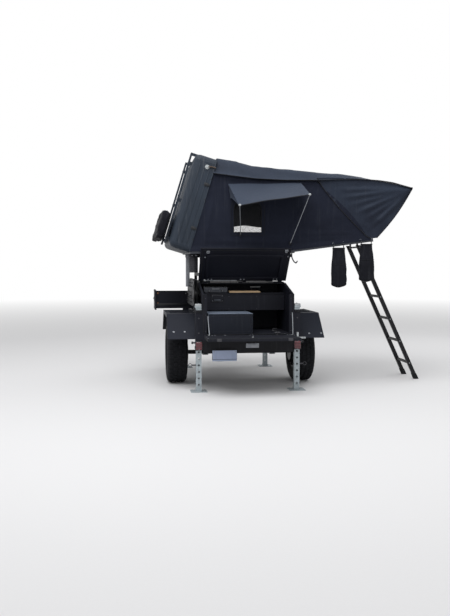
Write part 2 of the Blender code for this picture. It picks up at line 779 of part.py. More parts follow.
def rear_drawer(looks, frame):
    low = (DRAWER_CASE_LEFT, DRAWER_CASE_REAR, DRAWER_CASE_BOTTOM)
    high = (DRAWER_CASE_RIGHT, DRAWER_CASE_REAR + DRAWER_CASE_DEPTH, DRAWER_CASE_TOP)
    case = drawer_case("rear_drawer_case", low, high, SHEET, "rear", looks["aluminium"])
    attach(case, frame)

    carrier = pivot("rear_drawer_slide", (0, 0, 0), frame)
    gap = SHEET + RUNNING_GAP
    tray_low = (low[0] + gap, 0.008, low[2] + gap)
    tray_high = (high[0] - gap, high[1] - gap, high[2] - gap - 0.03)
    front = (
        (low[0] + 0.004, 0.001, low[2] + 0.004),
        (high[0] - 0.004, 0.001 + DRAWER_FRONT, high[2] - 0.004),
    )
    drawer = tray("rear_drawer", tray_low, tray_high, DRAWER_WALL, front, looks["drawer"])
    hang(drawer, carrier)


def upper_cabinet(looks, frame):
    between = TUB_HALF_WIDTH - WALL - TOUCH
    low = (-between, CABINET_REAR, CABINET_BOTTOM)
    high = (between, BULKHEAD_Y - TOUCH, CABINET_TOP)
    case = drawer_case("cabinet", low, high, SHEET, "rear", looks["tub"])
    counter = block("counter", (-between, CABINET_REAR - 0.012, CABINET_TOP - 0.002), (between, high[1], CABINET_TOP + COUNTER_THICKNESS))
    fuse(case, counter)
    attach(case, frame)

    carrier = pivot("upper_drawer_slide", (0, 0, 0), frame)
    gap = SHEET + RUNNING_GAP
    front_y = CABINET_REAR - 0.005 - DRAWER_FRONT
    front = (
        (low[0] + 0.004, front_y, low[2] + 0.004),
        (high[0] - 0.004, front_y + DRAWER_FRONT, CABINET_TOP - 0.008),
    )
    tray_low = (low[0] + gap, front_y + 0.008, low[2] + gap)
    tray_high = (high[0] - gap, high[1] - gap, high[2] - gap - 0.04)
    drawer = tray("upper_drawer", tray_low, tray_high, DRAWER_WALL, front, looks["tub"])
    latch = rounded(block("latch", (-0.40, front_y - 0.010, 1.085), (-0.26, front_y + 0.004, 1.160)), 0.004, 2)
    paddle = block("paddle", (-0.372, front_y - 0.02, 1.105), (-0.288, front_y + 0.004, 1.135))
    fuse(drawer, latch, paddle)
    hang(drawer, carrier)

    counter_top = CABINET_TOP + COUNTER_THICKNESS + TOUCH
    board_low = (-0.17, 0.51, counter_top)
    board = rounded(block("cutting_board", board_low, (0.23, 0.76, counter_top + 0.022), looks["wood"]), 0.004, 2)
    attach(board, frame)
    stove = rounded(block("stove", (-0.50, 0.54, counter_top), (-0.19, 0.86, counter_top + 0.07), looks["aluminium"]), 0.01, 3)
    attach(stove, frame)


def side_drawer(looks, frame):
    between = TUB_HALF_WIDTH - WALL - TOUCH
    half = SIDE_DRAWER_WIDTH / 2
    around = RUNNING_GAP + SHEET
    case_low = (-between, SIDE_DRAWER_Y - half - around, SIDE_DRAWER_BOTTOM - around)
    case_high = (-between + SIDE_DRAWER_DEPTH + 0.02, SIDE_DRAWER_Y + half + around, SIDE_DRAWER_TOP + around)
    case = drawer_case("side_drawer_case", case_low, case_high, SHEET, "left", looks["tub"])
    attach(case, frame)

    carrier = pivot("side_drawer_slide", (0, 0, 0), frame)
    face = -TUB_HALF_WIDTH - RUNNING_GAP
    low = (face - 0.008, SIDE_DRAWER_Y - half, SIDE_DRAWER_BOTTOM)
    high = (face + SIDE_DRAWER_DEPTH, SIDE_DRAWER_Y + half, SIDE_DRAWER_TOP)
    front = (
        (face - 0.02, SIDE_DRAWER_Y - half - 0.02, SIDE_DRAWER_BOTTOM - 0.02),
        (face, SIDE_DRAWER_Y + half + 0.02, SIDE_DRAWER_TOP + 0.02),
    )
    drawer = tray("side_drawer", low, high, DRAWER_WALL, front, looks["tub"])
    hang(drawer, carrier)
    carrier.location.x -= SIDE_DRAWER_OUT


def fenders(looks, frame):
    path = [
        (AXLE_Y - FENDER_HALF_LENGTH, FENDER_BOTTOM),
        (AXLE_Y - FENDER_HALF_TOP, FENDER_TOP),
        (AXLE_Y + FENDER_HALF_TOP, FENDER_TOP),
        (AXLE_Y + FENDER_HALF_LENGTH, FENDER_BOTTOM),
    ]
    inner_path = [
        (AXLE_Y - FENDER_HALF_LENGTH + FENDER_SKIRT * 1.4, FENDER_BOTTOM),
        (AXLE_Y - FENDER_HALF_TOP + FENDER_SKIRT * 0.45, FENDER_TOP - FENDER_SKIRT),
        (AXLE_Y + FENDER_HALF_TOP - FENDER_SKIRT * 0.45, FENDER_TOP - FENDER_SKIRT),
        (AXLE_Y + FENDER_HALF_LENGTH - FENDER_SKIRT * 1.4, FENDER_BOTTOM),
    ]
    for side, name in ((-1, "fender_left"), (1, "fender_right")):
        ends = sorted((side * (TUB_HALF_WIDTH + TOUCH), side * FENDER_OUTER_X))
        body = bent_sheet(name, path, "X", *ends, FENDER_SHEET, looks["fender"])
        skirt_ends = sorted((side * (FENDER_OUTER_X - FENDER_SHEET), side * (FENDER_OUTER_X + 0.001)))
        skirt = plate("skirt", "X", [path + list(reversed(inner_path))], *skirt_ends)
        flange_ends = sorted((side * (TUB_HALF_WIDTH + TOUCH), side * (TUB_HALF_WIDTH + TOUCH + FENDER_SHEET)))
        flange = plate("flange", "X", [path + list(reversed(inner_path))], *flange_ends)
        fuse(body, skirt, flange)
        attach(body, frame)


def lamps(looks, frame):
    face = LEG_INSET_Y - LEG_TUBE / 2 - TOUCH
    for side, name in ((-1, "lamp_left"), (1, "lamp_right")):
        centre = leg_centre_x(side)
        low = (centre - LAMP_WIDTH / 2, face - LAMP_DEPTH, LEG_TUBE_BOTTOM - 0.005)
        high = (centre + LAMP_WIDTH / 2, face, LEG_TUBE_BOTTOM - 0.005 + LAMP_HEIGHT)
        lamp = rounded(block(name, low, high, looks["lamp"]), 0.014, 3)
        attach(smooth(lamp), frame)


def licence_plate(looks, frame):
    left = PLATE_CENTRE_X - PLATE_WIDTH / 2
    face = -TOUCH
    bracket = block("plate_bracket", (left + 0.02, -0.008, PLATE_TOP - PLATE_HEIGHT + 0.02), (left + PLATE_WIDTH - 0.02, face, PLATE_TOP + 0.014), looks["frame"])
    lip = block("lip", (left + 0.06, -0.03, PLATE_TOP + 0.004), (left + PLATE_WIDTH - 0.06, -0.004, PLATE_TOP + 0.014))
    fuse(bracket, lip)
    attach(bracket, frame)
    near = -0.008 - TOUCH - PLATE_THICKNESS
    plate_piece = block("licence_plate", (left, near, PLATE_TOP - PLATE_HEIGHT), (left + PLATE_WIDTH, near + PLATE_THICKNESS, PLATE_TOP), looks["plate"])
    attach(plate_piece, frame)


def wheels(looks, frame):
    half = TYRE_WIDTH / 2
    bead = RIM_WIDTH / 2
    tyre_profile = [
        (TYRE_RADIUS, half * 0.76),
        (TYRE_RADIUS, -half * 0.76),
        (TYRE_RADIUS - 0.022, -half),
        (RIM_RADIUS + 0.08, -half),
        (RIM_RADIUS + 0.014, -bead),
        (RIM_RADIUS, -bead),
        (RIM_RADIUS, bead),
        (RIM_RADIUS + 0.014, bead),
        (RIM_RADIUS + 0.08, half),
        (TYRE_RADIUS - 0.022, half),
    ]
    seat = RIM_RADIUS - TOUCH
    lip = bead + TOUCH
    bore = SPINDLE_RADIUS - 0.002 + BORE_CLEARANCE
    rim_profile = [
        (RIM_RADIUS + 0.013, lip + 0.010),
        (RIM_RADIUS + 0.013, lip),
        (seat, lip),
        (seat, -lip),
        (RIM_RADIUS + 0.013, -lip),
        (RIM_RADIUS + 0.013, -lip - 0.010),
        (RIM_RADIUS, -lip - 0.010),
        (RIM_RADIUS - 0.014, -lip + 0.02),
        (RIM_RADIUS - 0.014, 0.01),
        (0.10, 0.022),
        (0.055, 0.015),
        (0.055, -0.05),
        (bore, -0.05),
        (bore, 0.045),
        (0.06, 0.045),
        (0.10, 0.038),
        (RIM_RADIUS - 0.022, 0.028),
        (RIM_RADIUS - 0.014, 0.05),
        (RIM_RADIUS, lip + 0.010),
    ]
    for side, name in ((-1, "left"), (1, "right")):
        carrier = pivot(f"wheel_{name}_axis", (side * WHEEL_X, AXLE_Y, TYRE_RADIUS), frame)
        turn = Matrix.Rotation(side * math.pi / 2, 4, "Y")
        tyre = turned(f"tyre_{name}", tyre_profile, looks["rubber"], WHEEL_STEPS)
        rim = turned(f"rim_{name}", rim_profile, looks["rim"], WHEEL_STEPS)
        for piece in (tyre, rim):
            piece.data.transform(turn)
            attach(smooth(piece), carrier)


def recovery_boards(looks, frame):
    outer = -TUB_HALF_WIDTH - TOUCH
    far = BOARD_REAR + BOARD_LENGTH
    low = (outer - 0.03 - BOARD_THICKNESS * 2, BOARD_REAR, BOARD_BOTTOM)
    body = rounded(block("recovery_boards", low, (outer - 0.03, far, BOARD_BOTTOM + BOARD_HEIGHT), looks["rubber"]), 0.012, 2)
    pins = []
    for along in (BOARD_REAR + 0.25, far - 0.25):
        pins.append(cylinder("pin", "X", (along, BOARD_BOTTOM + BOARD_HEIGHT / 2 - 0.04), 0.012, outer - 0.04, outer, steps=16))
    fuse(body, *pins)
    attach(body, frame)


def rack(looks, frame):
    half = RACK_POST / 2
    body = None
    pieces = []
    for along in (RACK_REAR_Y, RACK_FRONT_Y):
        bar_piece = block("rack", (-RACK_HALF_WIDTH, along - half, RACK_BAR_BOTTOM), (RACK_HALF_WIDTH, along + half, RACK_BAR_TOP), looks["frame"])
        body, pieces = (bar_piece, pieces) if body is None else (body, pieces + [bar_piece])
        for side in (-1, 1):
            centre = side * RACK_POST_X
            low = (centre - half + 0.001, along - half + 0.001, TUB_TOP + TOUCH)
            pieces.append(block("post", low, (centre + half - 0.001, along + half - 0.001, RACK_BAR_BOTTOM + 0.02)))
    for side in (-1, 1):
        centre = side * RACK_POST_X
        low = (centre - half + 0.003, RACK_REAR_Y, RACK_BRACE_Z - half)
        pieces.append(block("brace", low, (centre + half - 0.003, RACK_FRONT_Y, RACK_BRACE_Z + half)))
    fuse(body, *pieces)
    attach(body, frame)


def base_left():
    """Where the tent's base meets the plane of the raised cover's rim."""
    return SHELL_HINGE_X + (RACK_BAR_TOP + BASE_THICKNESS - SHELL_HINGE_Z) / math.tan(SHELL_ANGLE) + TOUCH / math.sin(SHELL_ANGLE)


def tent_base(looks, frame):
    low = (base_left(), TENT_REAR, RACK_BAR_TOP + TOUCH)
    high = (BASE_RIGHT, TENT_REAR + TENT_WIDTH, RACK_BAR_TOP + BASE_THICKNESS)
    attach(block("tent_base", low, high, looks["aluminium"]), frame)

    hinge = (BASE_RIGHT + TOUCH, 0.0, RACK_BAR_TOP + BASE_THICKNESS)
    carrier = pivot("tent_floor_tilt", hinge, frame, (0.0, -FLOOR_TILT, 0.0))
    floor = block("tent_floor", (0, TENT_REAR, -BASE_THICKNESS), (FLOOR_LENGTH, TENT_REAR + TENT_WIDTH, 0), looks["aluminium"])
    attach(floor, carrier)

    pin_x, pin_z = LADDER_PIVOT
    pin = cylinder("ladder_mount", "Y", LADDER_PIVOT, LADDER_PIN_RADIUS, LADDER_NEAR_Y - 0.03, LADDER_FAR_Y + 0.03, looks["steel"], 16)
    under = floor_top(pin_x) - BASE_THICKNESS / math.cos(FLOOR_TILT) - 0.002
    lugs = []
    for near in (LADDER_NEAR_Y + 0.08, LADDER_FAR_Y - 0.08 - 0.012):
        lugs.append(block("lug", (pin_x - 0.012, near, pin_z - 0.005), (pin_x + 0.012, near + 0.012, under)))
    fuse(pin, *lugs)
    attach(smooth(pin), frame)


def floor_top(across):
    """Height of the tent floor's top face at a place along X."""
    base_top = RACK_BAR_TOP + BASE_THICKNESS
    return base_top + max(across - BASE_RIGHT, 0.0) * math.tan(FLOOR_TILT)


def tent_shell(looks, frame):
    carrier = pivot("tent_shell_tilt", (SHELL_HINGE_X, 0.0, SHELL_HINGE_Z), frame, (0.0, -SHELL_ANGLE, 0.0))
    near, far = TENT_REAR, TENT_REAR + TENT_WIDTH
    outer = rounded(block("tent_shell", (0, near, -0.30), (SHELL_LENGTH, far, SHELL_DEPTH), looks["shell"]), SHELL_ROUND, 4)
    wall = SHELL_WALL
    inner = rounded(
        block("hollow", (wall, near + wall, -0.30), (SHELL_LENGTH - wall, far - wall, SHELL_DEPTH - wall)),
        SHELL_ROUND - wall,
        4,
    )
    below = block("below", (-0.1, near - 0.1, -0.5), (SHELL_LENGTH + 0.1, far + 0.1, 0.0))
    cut(outer, inner, below)
    pieces = []
    bar_low = SHELL_DEPTH + SHELL_BAR_GAP
    for offset in SHELL_BAR_PLACES:
        middle = TENT_REAR + offset
        half = SHELL_BAR_WIDTH / 2
        pieces.append(block("bar", (0.03, middle - half, bar_low), (SHELL_LENGTH, middle + half, bar_low + SHELL_BAR_HEIGHT)))
        pieces.append(
            block("hook", (SHELL_LENGTH - 0.02, middle - half + 0.002, SHELL_DEPTH - 0.06), (SHELL_LENGTH + 0.012, middle + half - 0.002, bar_low + SHELL_BAR_HEIGHT - 0.002))
        )
        for along in (0.10, SHELL_LENGTH / 2, SHELL_LENGTH - 0.12):
            pieces.append(block("standoff", (along - 0.02, middle - half + 0.004, SHELL_DEPTH - 0.01), (along + 0.02, middle + half - 0.004, bar_low + 0.01)))
    fuse(outer, *pieces)
    attach(smooth(outer), carrier)

    bag_low = SHELL_DEPTH + SHELL_BAR_GAP + SHELL_BAR_HEIGHT + TOUCH
    start = TENT_REAR + (TENT_WIDTH - GEAR_BAG_WIDTH) / 2
    bag = block("gear_bag", (GEAR_BAG_START, start, bag_low), (GEAR_BAG_START + GEAR_BAG_LENGTH, start + GEAR_BAG_WIDTH, bag_low + GEAR_BAG_DEPTH), looks["fabric"])
    attach(smooth(rounded(bag, 0.05, 3)), carrier)


def shell_rim(along, clear):
    """A point (X, Z) at a distance along the cover's rim plane, clear of it by a gap."""
    across = SHELL_HINGE_X + along * math.cos(SHELL_ANGLE) + clear * math.sin(SHELL_ANGLE)
    height = SHELL_HINGE_Z + along * math.sin(SHELL_ANGLE) - clear * math.cos(SHELL_ANGLE)
    return (across, height)


def canopy_end():
    """Foot of the tent's entrance wall, on the floor's outer end."""
    across = BASE_RIGHT + FLOOR_LENGTH * math.cos(FLOOR_TILT) - CANOPY_END_INSET
    return (across, floor_top(across) + TOUCH * 2)


def tent_canopy(looks, frame):
    near = TENT_REAR + CANOPY_INSET
    far = TENT_REAR + TENT_WIDTH - CANOPY_INSET
    base_top = RACK_BAR_TOP + BASE_THICKNESS + TOUCH * 2
    foot = shell_rim((base_top - SHELL_HINGE_Z) / math.sin(SHELL_ANGLE) + 0.001, TOUCH * 2)
    head = shell_rim(CANOPY_ROOF_START, TOUCH * 2)
    end = canopy_end()
    outline = [(foot[0], base_top), (BASE_RIGHT, base_top), end, CANOPY_RIDGE, CANOPY_VALLEY, head]
    body = plate("tent_canopy", "Y", [outline], near, far, looks["fabric"])
    wall = CANOPY_WALL
    slant = Vector(end) - Vector(CANOPY_RIDGE)
    inward = Vector((slant.y, -slant.x)).normalized() * wall
    inner = [
        (foot[0] - 0.5, base_top - 0.3),
        (end[0] + inward.x + 0.2, base_top - 0.3),
        (end[0] + inward.x, end[1] + inward.y),
        (CANOPY_RIDGE[0] + inward.x, CANOPY_RIDGE[1] - wall * 1.2),
        (CANOPY_VALLEY[0], CANOPY_VALLEY[1] - wall),
        (head[0] - 0.2, head[1] - wall + 0.2 * (head[1] - CANOPY_VALLEY[1]) / (CANOPY_VALLEY[0] - head[0])),
    ]
    room = plate("room", "Y", [inner], near + wall, far - wall)
    window = block("window", (WINDOW_LEFT, near - 0.1, WINDOW_BOTTOM), (WINDOW_RIGHT, far + 0.1, WINDOW_TOP))
    cut(body, room, window)
    attach(body, frame)


def tent_fly(looks, frame):
    near = TENT_REAR - FLY_OVERHANG
    far = TENT_REAR + TENT_WIDTH + FLY_OVERHANG
    body = bent_sheet("tent_fly", FLY_PROFILE, "Y", near, far, FLY_SHEET, looks["fabric"])
    tip = FLY_PROFILE[-1]
    start = FLY_PROFILE[3]
    end = canopy_end()
    slant = (Vector(CANOPY_RIDGE) - Vector(end)).normalized()
    out = Vector((slant.y, -slant.x)) * TOUCH * 1.5
    wing_foot = Vector(end) + out + slant * 0.002
    wing_head = Vector(CANOPY_RIDGE) + out + slant * 0.04
    wing = [
        tuple(wing_foot),
        FLY_WING_FOOT,
        (tip[0] - 0.01, tip[1] + 0.001),
        (start[0] + 0.012, start[1] + 0.001),
        tuple(wing_head),
    ]
    wings = []
    for edge in (TENT_REAR + CANOPY_INSET, TENT_REAR + TENT_WIDTH - CANOPY_INSET - FLY_SHEET):
        wings.append(plate("wing", "Y", [wing], edge, edge + FLY_SHEET))
    fuse(body, *wings)
    attach(body, frame)


def window_awning(looks, frame):
    near = TENT_REAR + CANOPY_INSET
    rise = AWNING_TOP_LEFT[1] - AWNING_EDGE_LEFT[1]
    wall_y = near - TOUCH - AWNING_SHEET / 2 * rise / math.hypot(rise, near - AWNING_EDGE_Y)
    corners = [
        (AWNING_TOP_LEFT[0], wall_y, AWNING_TOP_LEFT[1]),
        (AWNING_TOP_RIGHT[0], wall_y, AWNING_TOP_RIGHT[1]),
        (AWNING_EDGE_RIGHT[0], AWNING_EDGE_Y, AWNING_EDGE_RIGHT[1]),
        (AWNING_EDGE_LEFT[0], AWNING_EDGE_Y, AWNING_EDGE_LEFT[1]),
    ]
    mesh = bpy.data.meshes.new("window_awning")
    mesh.from_pydata(corners, [], [(0, 1, 2, 3)])
    body = add_object("window_awning", mesh, looks["fabric"])
    solid = body.modifiers.new("Thickness", "SOLIDIFY")
    solid.thickness = AWNING_SHEET
    solid.offset = 0.0
    bake(body)
    top_left, top_right, edge_right, edge_left = (Vector(corner) for corner in corners)
    rods = []
    for foot, across in ((AWNING_ROD_FEET[0], 0.03), (AWNING_ROD_FEET[1], 0.97)):
        outer = edge_left.lerp(edge_right, across)
        head = outer.lerp(top_left.lerp(top_right, across), 0.05)
        rods.append(bar("rod", [head, (foot[0], near - AWNING_ROD_RADIUS, foot[1])], AWNING_ROD_RADIUS))
    fuse(body, *rods)
    attach(body, frame)


def ladder(looks, frame):
    pivot_x, pivot_z = LADDER_PIVOT
    carrier = pivot("ladder_pivot", (pivot_x, 0.0, pivot_z), frame)
    lean = Vector((LADDER_FOOT_X - pivot_x, -pivot_z)).normalized()
    half = LADDER_RAIL_DEPTH / 2 / -lean.y
    head = -lean * LADDER_HEAD
    rail = [
        (pivot_x + head.x - half, pivot_z + head.y),
        (pivot_x + head.x + half, pivot_z + head.y),
        (LADDER_FOOT_X + half, 0.0),
        (LADDER_FOOT_X - half, 0.0),
    ]
    body = None
    others = []
    for near in (LADDER_NEAR_Y, LADDER_FAR_Y - LADDER_RAIL_WIDTH):
        piece = plate("ladder", "Y", [rail], near, near + LADDER_RAIL_WIDTH, looks["ladder"])
        if body is None:
            body = piece
        else:
            others.append(piece)
    for index in range(LADDER_RUNGS):
        along = LADDER_FIRST_RUNG + index * LADDER_RUNG_STEP
        place = (LADDER_FOOT_X - lean.x * along, -lean.y * along)
        others.append(cylinder("rung", "Y", place, LADDER_RUNG_RADIUS, LADDER_NEAR_Y + 0.01, LADDER_FAR_Y - 0.01, steps=12))
    fuse(body, *others)
    cut(body, cylinder("hole", "Y", LADDER_PIVOT, LADDER_PIN_RADIUS + BORE_CLEARANCE, LADDER_NEAR_Y - 0.1, LADDER_FAR_Y + 0.1, steps=16))
    hang(body, carrier)


def hanging_bags(looks, frame):
    for name, left, bottom in (("shoe_bag_inner", 1.09, 1.26), ("shoe_bag_outer", 1.45, 1.33)):
        top = floor_top(left) - TOUCH
        narrow = 0.02
        outline = [(left - 0.01, bottom), (left + BAG_WIDTH + 0.01, bottom), (left + BAG_WIDTH - narrow, top), (left + narrow, top)]
        far = TENT_REAR - TOUCH
        bag = plate(name, "Y", [outline], far - BAG_DEPTH, far, looks["fabric"])
        attach(smooth(rounded(bag, 0.015, 2)), frame)


def centre_on_footprint(frame):
    """Moves the whole trailer so that its box stands centred on the world's origin."""
    bpy.context.view_layer.update()
    points = []
    for piece in collection.objects:
        if piece.type == "MESH":
            points += [piece.matrix_world @ vert.co for vert in piece.data.vertices]
    for axis in range(2):
        places = [point[axis] for point in points]
        frame.location[axis] = -(min(places) + max(places)) / 2


def finishes():
    return {
        "tub": finish("Textured black", (0.022, 0.024, 0.030), 0.55),
        "fender": finish("Black sheet", (0.050, 0.052, 0.060), 0.5),
        "frame": finish("Chassis black", (0.012, 0.012, 0.014), 0.5),
        "steel": finish("Dark steel", (0.10, 0.10, 0.11), 0.4, 0.8),
        "galvanised": finish("Galvanised", (0.62, 0.64, 0.66), 0.45, 0.6),
        "aluminium": finish("Aluminium", (0.42, 0.43, 0.46), 0.4, 0.8),
        "drawer": finish("Drawer grey", (0.060, 0.066, 0.080), 0.45),
        "wood": finish("Bamboo", (0.52, 0.36, 0.20), 0.5),
        "lamp": finish("Red lens", (0.45, 0.015, 0.02), 0.2),
        "plate": finish("Plate white", (0.70, 0.72, 0.76), 0.45),
        "rubber": finish("Rubber", (0.015, 0.015, 0.017), 0.85),
        "rim": finish("Rim black", (0.025, 0.025, 0.028), 0.35, 0.5),
        "shell": finish("Tent cover", (0.05, 0.075, 0.085), 0.45),
        "fabric": finish("Tent fabric", (0.030, 0.032, 0.042), 0.85),
        "ladder": finish("Ladder black", (0.015, 0.015, 0.017), 0.45, 0.3),
    }


def main():
    clear_scene()
    looks = finishes()
    frame = pivot("trailer_frame", (0, 0, 0), None)
    for build in (
        chassis,
        drawbar,
        coupler,
        tongue_jack,
        axle,
        springs,
        tub,
        legs,
        lamps,
        licence_plate,
        tailgate,
        lid,
        rear_drawer,
        upper_cabinet,
        side_drawer,
        fenders,
        wheels,
        recovery_boards,
        rack,
        tent_base,
        tent_shell,
        tent_canopy,
        tent_fly,
        window_awning,
        ladder,
        hanging_bags,
    ):
        build(looks, frame)
    centre_on_footprint(frame)


main()
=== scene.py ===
# Camping trailer set up at a camp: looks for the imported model. Metres, +Z up, +Y towards the drawbar.
import json
import math

import bmesh
import bpy
from mathutils import Matrix, Vector, geometry, noise

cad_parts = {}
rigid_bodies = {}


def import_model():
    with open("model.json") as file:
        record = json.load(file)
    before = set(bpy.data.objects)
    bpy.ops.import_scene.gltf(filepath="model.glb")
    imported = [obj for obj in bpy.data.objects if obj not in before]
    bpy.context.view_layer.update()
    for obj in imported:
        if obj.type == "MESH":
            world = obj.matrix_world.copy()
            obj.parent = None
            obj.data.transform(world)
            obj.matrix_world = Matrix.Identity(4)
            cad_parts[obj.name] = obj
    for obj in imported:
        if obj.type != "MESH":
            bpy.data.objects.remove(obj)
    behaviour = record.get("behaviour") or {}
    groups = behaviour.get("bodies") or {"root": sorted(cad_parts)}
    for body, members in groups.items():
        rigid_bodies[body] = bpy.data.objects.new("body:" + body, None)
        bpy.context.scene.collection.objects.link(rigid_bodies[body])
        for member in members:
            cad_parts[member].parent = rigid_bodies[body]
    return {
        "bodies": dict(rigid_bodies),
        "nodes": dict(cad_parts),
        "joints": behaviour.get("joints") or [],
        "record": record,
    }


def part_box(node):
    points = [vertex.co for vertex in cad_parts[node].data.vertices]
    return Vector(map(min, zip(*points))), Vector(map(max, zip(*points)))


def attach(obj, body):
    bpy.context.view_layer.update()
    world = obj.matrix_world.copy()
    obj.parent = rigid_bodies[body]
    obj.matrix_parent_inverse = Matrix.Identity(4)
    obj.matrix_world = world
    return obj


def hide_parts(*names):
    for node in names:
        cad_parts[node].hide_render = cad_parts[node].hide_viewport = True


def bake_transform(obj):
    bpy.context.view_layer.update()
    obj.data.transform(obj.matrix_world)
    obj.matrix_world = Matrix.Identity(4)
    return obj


print("frame: loading the packed trailer")
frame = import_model()
nodes = frame["nodes"]
slotOf = {part["node"]: part["material_slot"] for part in frame["record"]["subparts"]}
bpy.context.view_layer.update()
bpy.context.scene.view_settings.view_transform = "Standard"

beamLow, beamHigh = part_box("chassis")
# middle of the tub's rear face, on the ground
trailerOrigin = Vector(((beamLow.x + beamHigh.x) / 2, beamLow.y, 0.0))


def at(x, y, z):
    return trailerOrigin + Vector((x, y, z))


def boxOf(node):  # lowest and highest corners, measured from the tub's rear face
    low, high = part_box(node)
    return low - trailerOrigin, high - trailerOrigin


print("stage: camera, floor and lights")
photoView = {
    "place": (-1.440, -9.383, 1.570), "yaw": 6.986, "pitch": 3.297, "focal": 776.7, "frameHeight": 616
}


def makeCamera(view):
    lens = bpy.data.cameras.new("photoCamera")
    lens.sensor_width = 36.0
    lens.lens = view["focal"] / view["frameHeight"] * lens.sensor_width
    lens.clip_end = 300.0
    camera = bpy.data.objects.new("photoCamera", lens)
    camera.location = at(*view["place"])
    camera.rotation_euler = (math.radians(90 - view["pitch"]), 0.0, math.radians(-view["yaw"]))
    bpy.context.scene.collection.objects.link(camera)
    bpy.context.scene.camera = camera


makeCamera(photoView)


def newNode(tree, kind, inputs=None, **settings):
    made = tree.nodes.new(kind)
    for key, value in settings.items():
        setattr(made, key, value)
    for key, value in (inputs or {}).items():
        socket = made.inputs[key]
        if isinstance(value, bpy.types.NodeSocket):
            tree.links.new(value, socket)
        else:
            socket.default_value = value
    return made


def maths(tree, operation, first, second=0.0, third=0.0):
    return newNode(tree, "ShaderNodeMath", {0: first, 1: second, 2: third}, operation=operation).outputs[0]


def mixColour(tree, share, first, second, blend="MIX"):
    made = newNode(
        tree, "ShaderNodeMix", {"Factor": share, 6: first, 7: second}, data_type="RGBA", blend_type=blend
    )
    return made.outputs[2]


def objectPlace(tree):
    return newNode(tree, "ShaderNodeTexCoord").outputs["Object"]


def stretchedPlace(tree, place, scale):
    return newNode(tree, "ShaderNodeVectorMath", {0: place, 1: scale}, operation="MULTIPLY").outputs[0]


def brighten(tree, colour, factor):
    return newNode(tree, "ShaderNodeVectorMath", {0: colour, "Scale": factor}, operation="SCALE").outputs[0]


def surfaceNormal(tree):
    return newNode(tree, "ShaderNodeNewGeometry").outputs["Normal"]


def axesOf(tree, vector):
    return newNode(tree, "ShaderNodeSeparateXYZ", {0: vector}).outputs


def spread(tree, value, low, high, newLow=0.0, newHigh=1.0):
    inputs = {"Value": value, "From Min": low, "From Max": high, "To Min": newLow, "To Max": newHigh}
    return newNode(tree, "ShaderNodeMapRange", inputs).outputs[0]


def noiseValue(tree, place, scale, detail=4.0, roughness=0.55):
    inputs = {"Vector": place, "Scale": scale, "Detail": detail, "Roughness": roughness}
    return newNode(tree, "ShaderNodeTexNoise", inputs).outputs["Fac"]


def setShader(shader, **values):
    for label, value in values.items():
        shader.inputs[label.replace("_", " ")].default_value = value


studio = {
    "floorRadius": 60.0, "floorColour": (0.70, 0.70, 0.71), "fadeStart": 7.0, "fadeEnd": 24.0,
    "worldStrength": 0.62, "keyPower": 560.0, "keySize": 7.0, "keyPlace": (-2.5, -4.5, 8.0),
    "fillPower": 120.0, "fillSize": 5.0, "fillPlace": (5.0, 3.0, 6.0),
}


def cameraRay(tree):  # 1 where the background is seen directly, in a mirror or through glass
    path = newNode(tree, "ShaderNodeLightPath")
    seen = maths(tree, "MAXIMUM", path.outputs["Is Camera Ray"], path.outputs["Is Glossy Ray"])
    return maths(tree, "MAXIMUM", seen, path.outputs["Is Transmission Ray"])


def makeWorld(settings):
    world = bpy.data.worlds.new("studioWorld")
    world.use_nodes = True
    tree = world.node_tree
    tree.nodes.clear()
    soft = newNode(
        tree, "ShaderNodeBackground", {"Color": (1, 1, 1, 1), "Strength": settings["worldStrength"]}
    )
    white = newNode(tree, "ShaderNodeBackground", {"Color": (1, 1, 1, 1), "Strength": 1.0})
    both = newNode(tree, "ShaderNodeMixShader", {0: cameraRay(tree), 1: soft.outputs[0], 2: white.outputs[0]})
    newNode(tree, "ShaderNodeOutputWorld", {"Surface": both.outputs[0]})
    bpy.context.scene.world = world


def makeFloor(settings):
    work = bmesh.new()
    bmesh.ops.create_circle(work, cap_ends=True, segments=96, radius=settings["floorRadius"])
    mesh = bpy.data.meshes.new("studioFloor")
    work.to_mesh(mesh)
    work.free()
    floor = bpy.data.objects.new("studioFloor", mesh)
    bpy.context.scene.collection.objects.link(floor)
    look = bpy.data.materials.new("studioFloor")
    look.use_nodes = True
    tree = look.node_tree
    shader = tree.nodes["Principled BSDF"]
    place = objectPlace(tree)
    speckle = noiseValue(tree, place, 60.0)
    tint = mixColour(
        tree, speckle, (*(0.96 * c for c in settings["floorColour"]), 1), (*settings["floorColour"], 1)
    )
    tree.links.new(tint, shader.inputs["Base Color"])
    setShader(shader, Roughness=0.75)
    far = newNode(tree, "ShaderNodeVectorMath", {0: place}, operation="LENGTH").outputs["Value"]
    paleShare = maths(
        tree, "MULTIPLY", spread(tree, far, settings["fadeStart"], settings["fadeEnd"]), cameraRay(tree)
    )
    white = newNode(tree, "ShaderNodeEmission", {"Color": (1, 1, 1, 1), "Strength": 1.0})
    both = newNode(tree, "ShaderNodeMixShader", {0: paleShare, 1: shader.outputs[0], 2: white.outputs[0]})
    tree.links.new(both.outputs[0], tree.nodes["Material Output"].inputs["Surface"])
    mesh.materials.append(look)


def makeLamp(name, power, size, place):
    lamp = bpy.data.lights.new(name, "AREA")
    lamp.shape = "DISK"
    lamp.size = size
    lamp.energy = power
    shown = bpy.data.objects.new(name, lamp)
    shown.location = place
    shown.rotation_euler = (Vector((0, 0, 1)) - Vector(place)).to_track_quat("-Z", "Y").to_euler()
    bpy.context.scene.collection.objects.link(shown)


makeWorld(studio)
makeFloor(studio)
makeLamp("keyLamp", studio["keyPower"], studio["keySize"], studio["keyPlace"])
makeLamp("fillLamp", studio["fillPower"], studio["fillSize"], studio["fillPlace"])

print("finishes: shared effects")


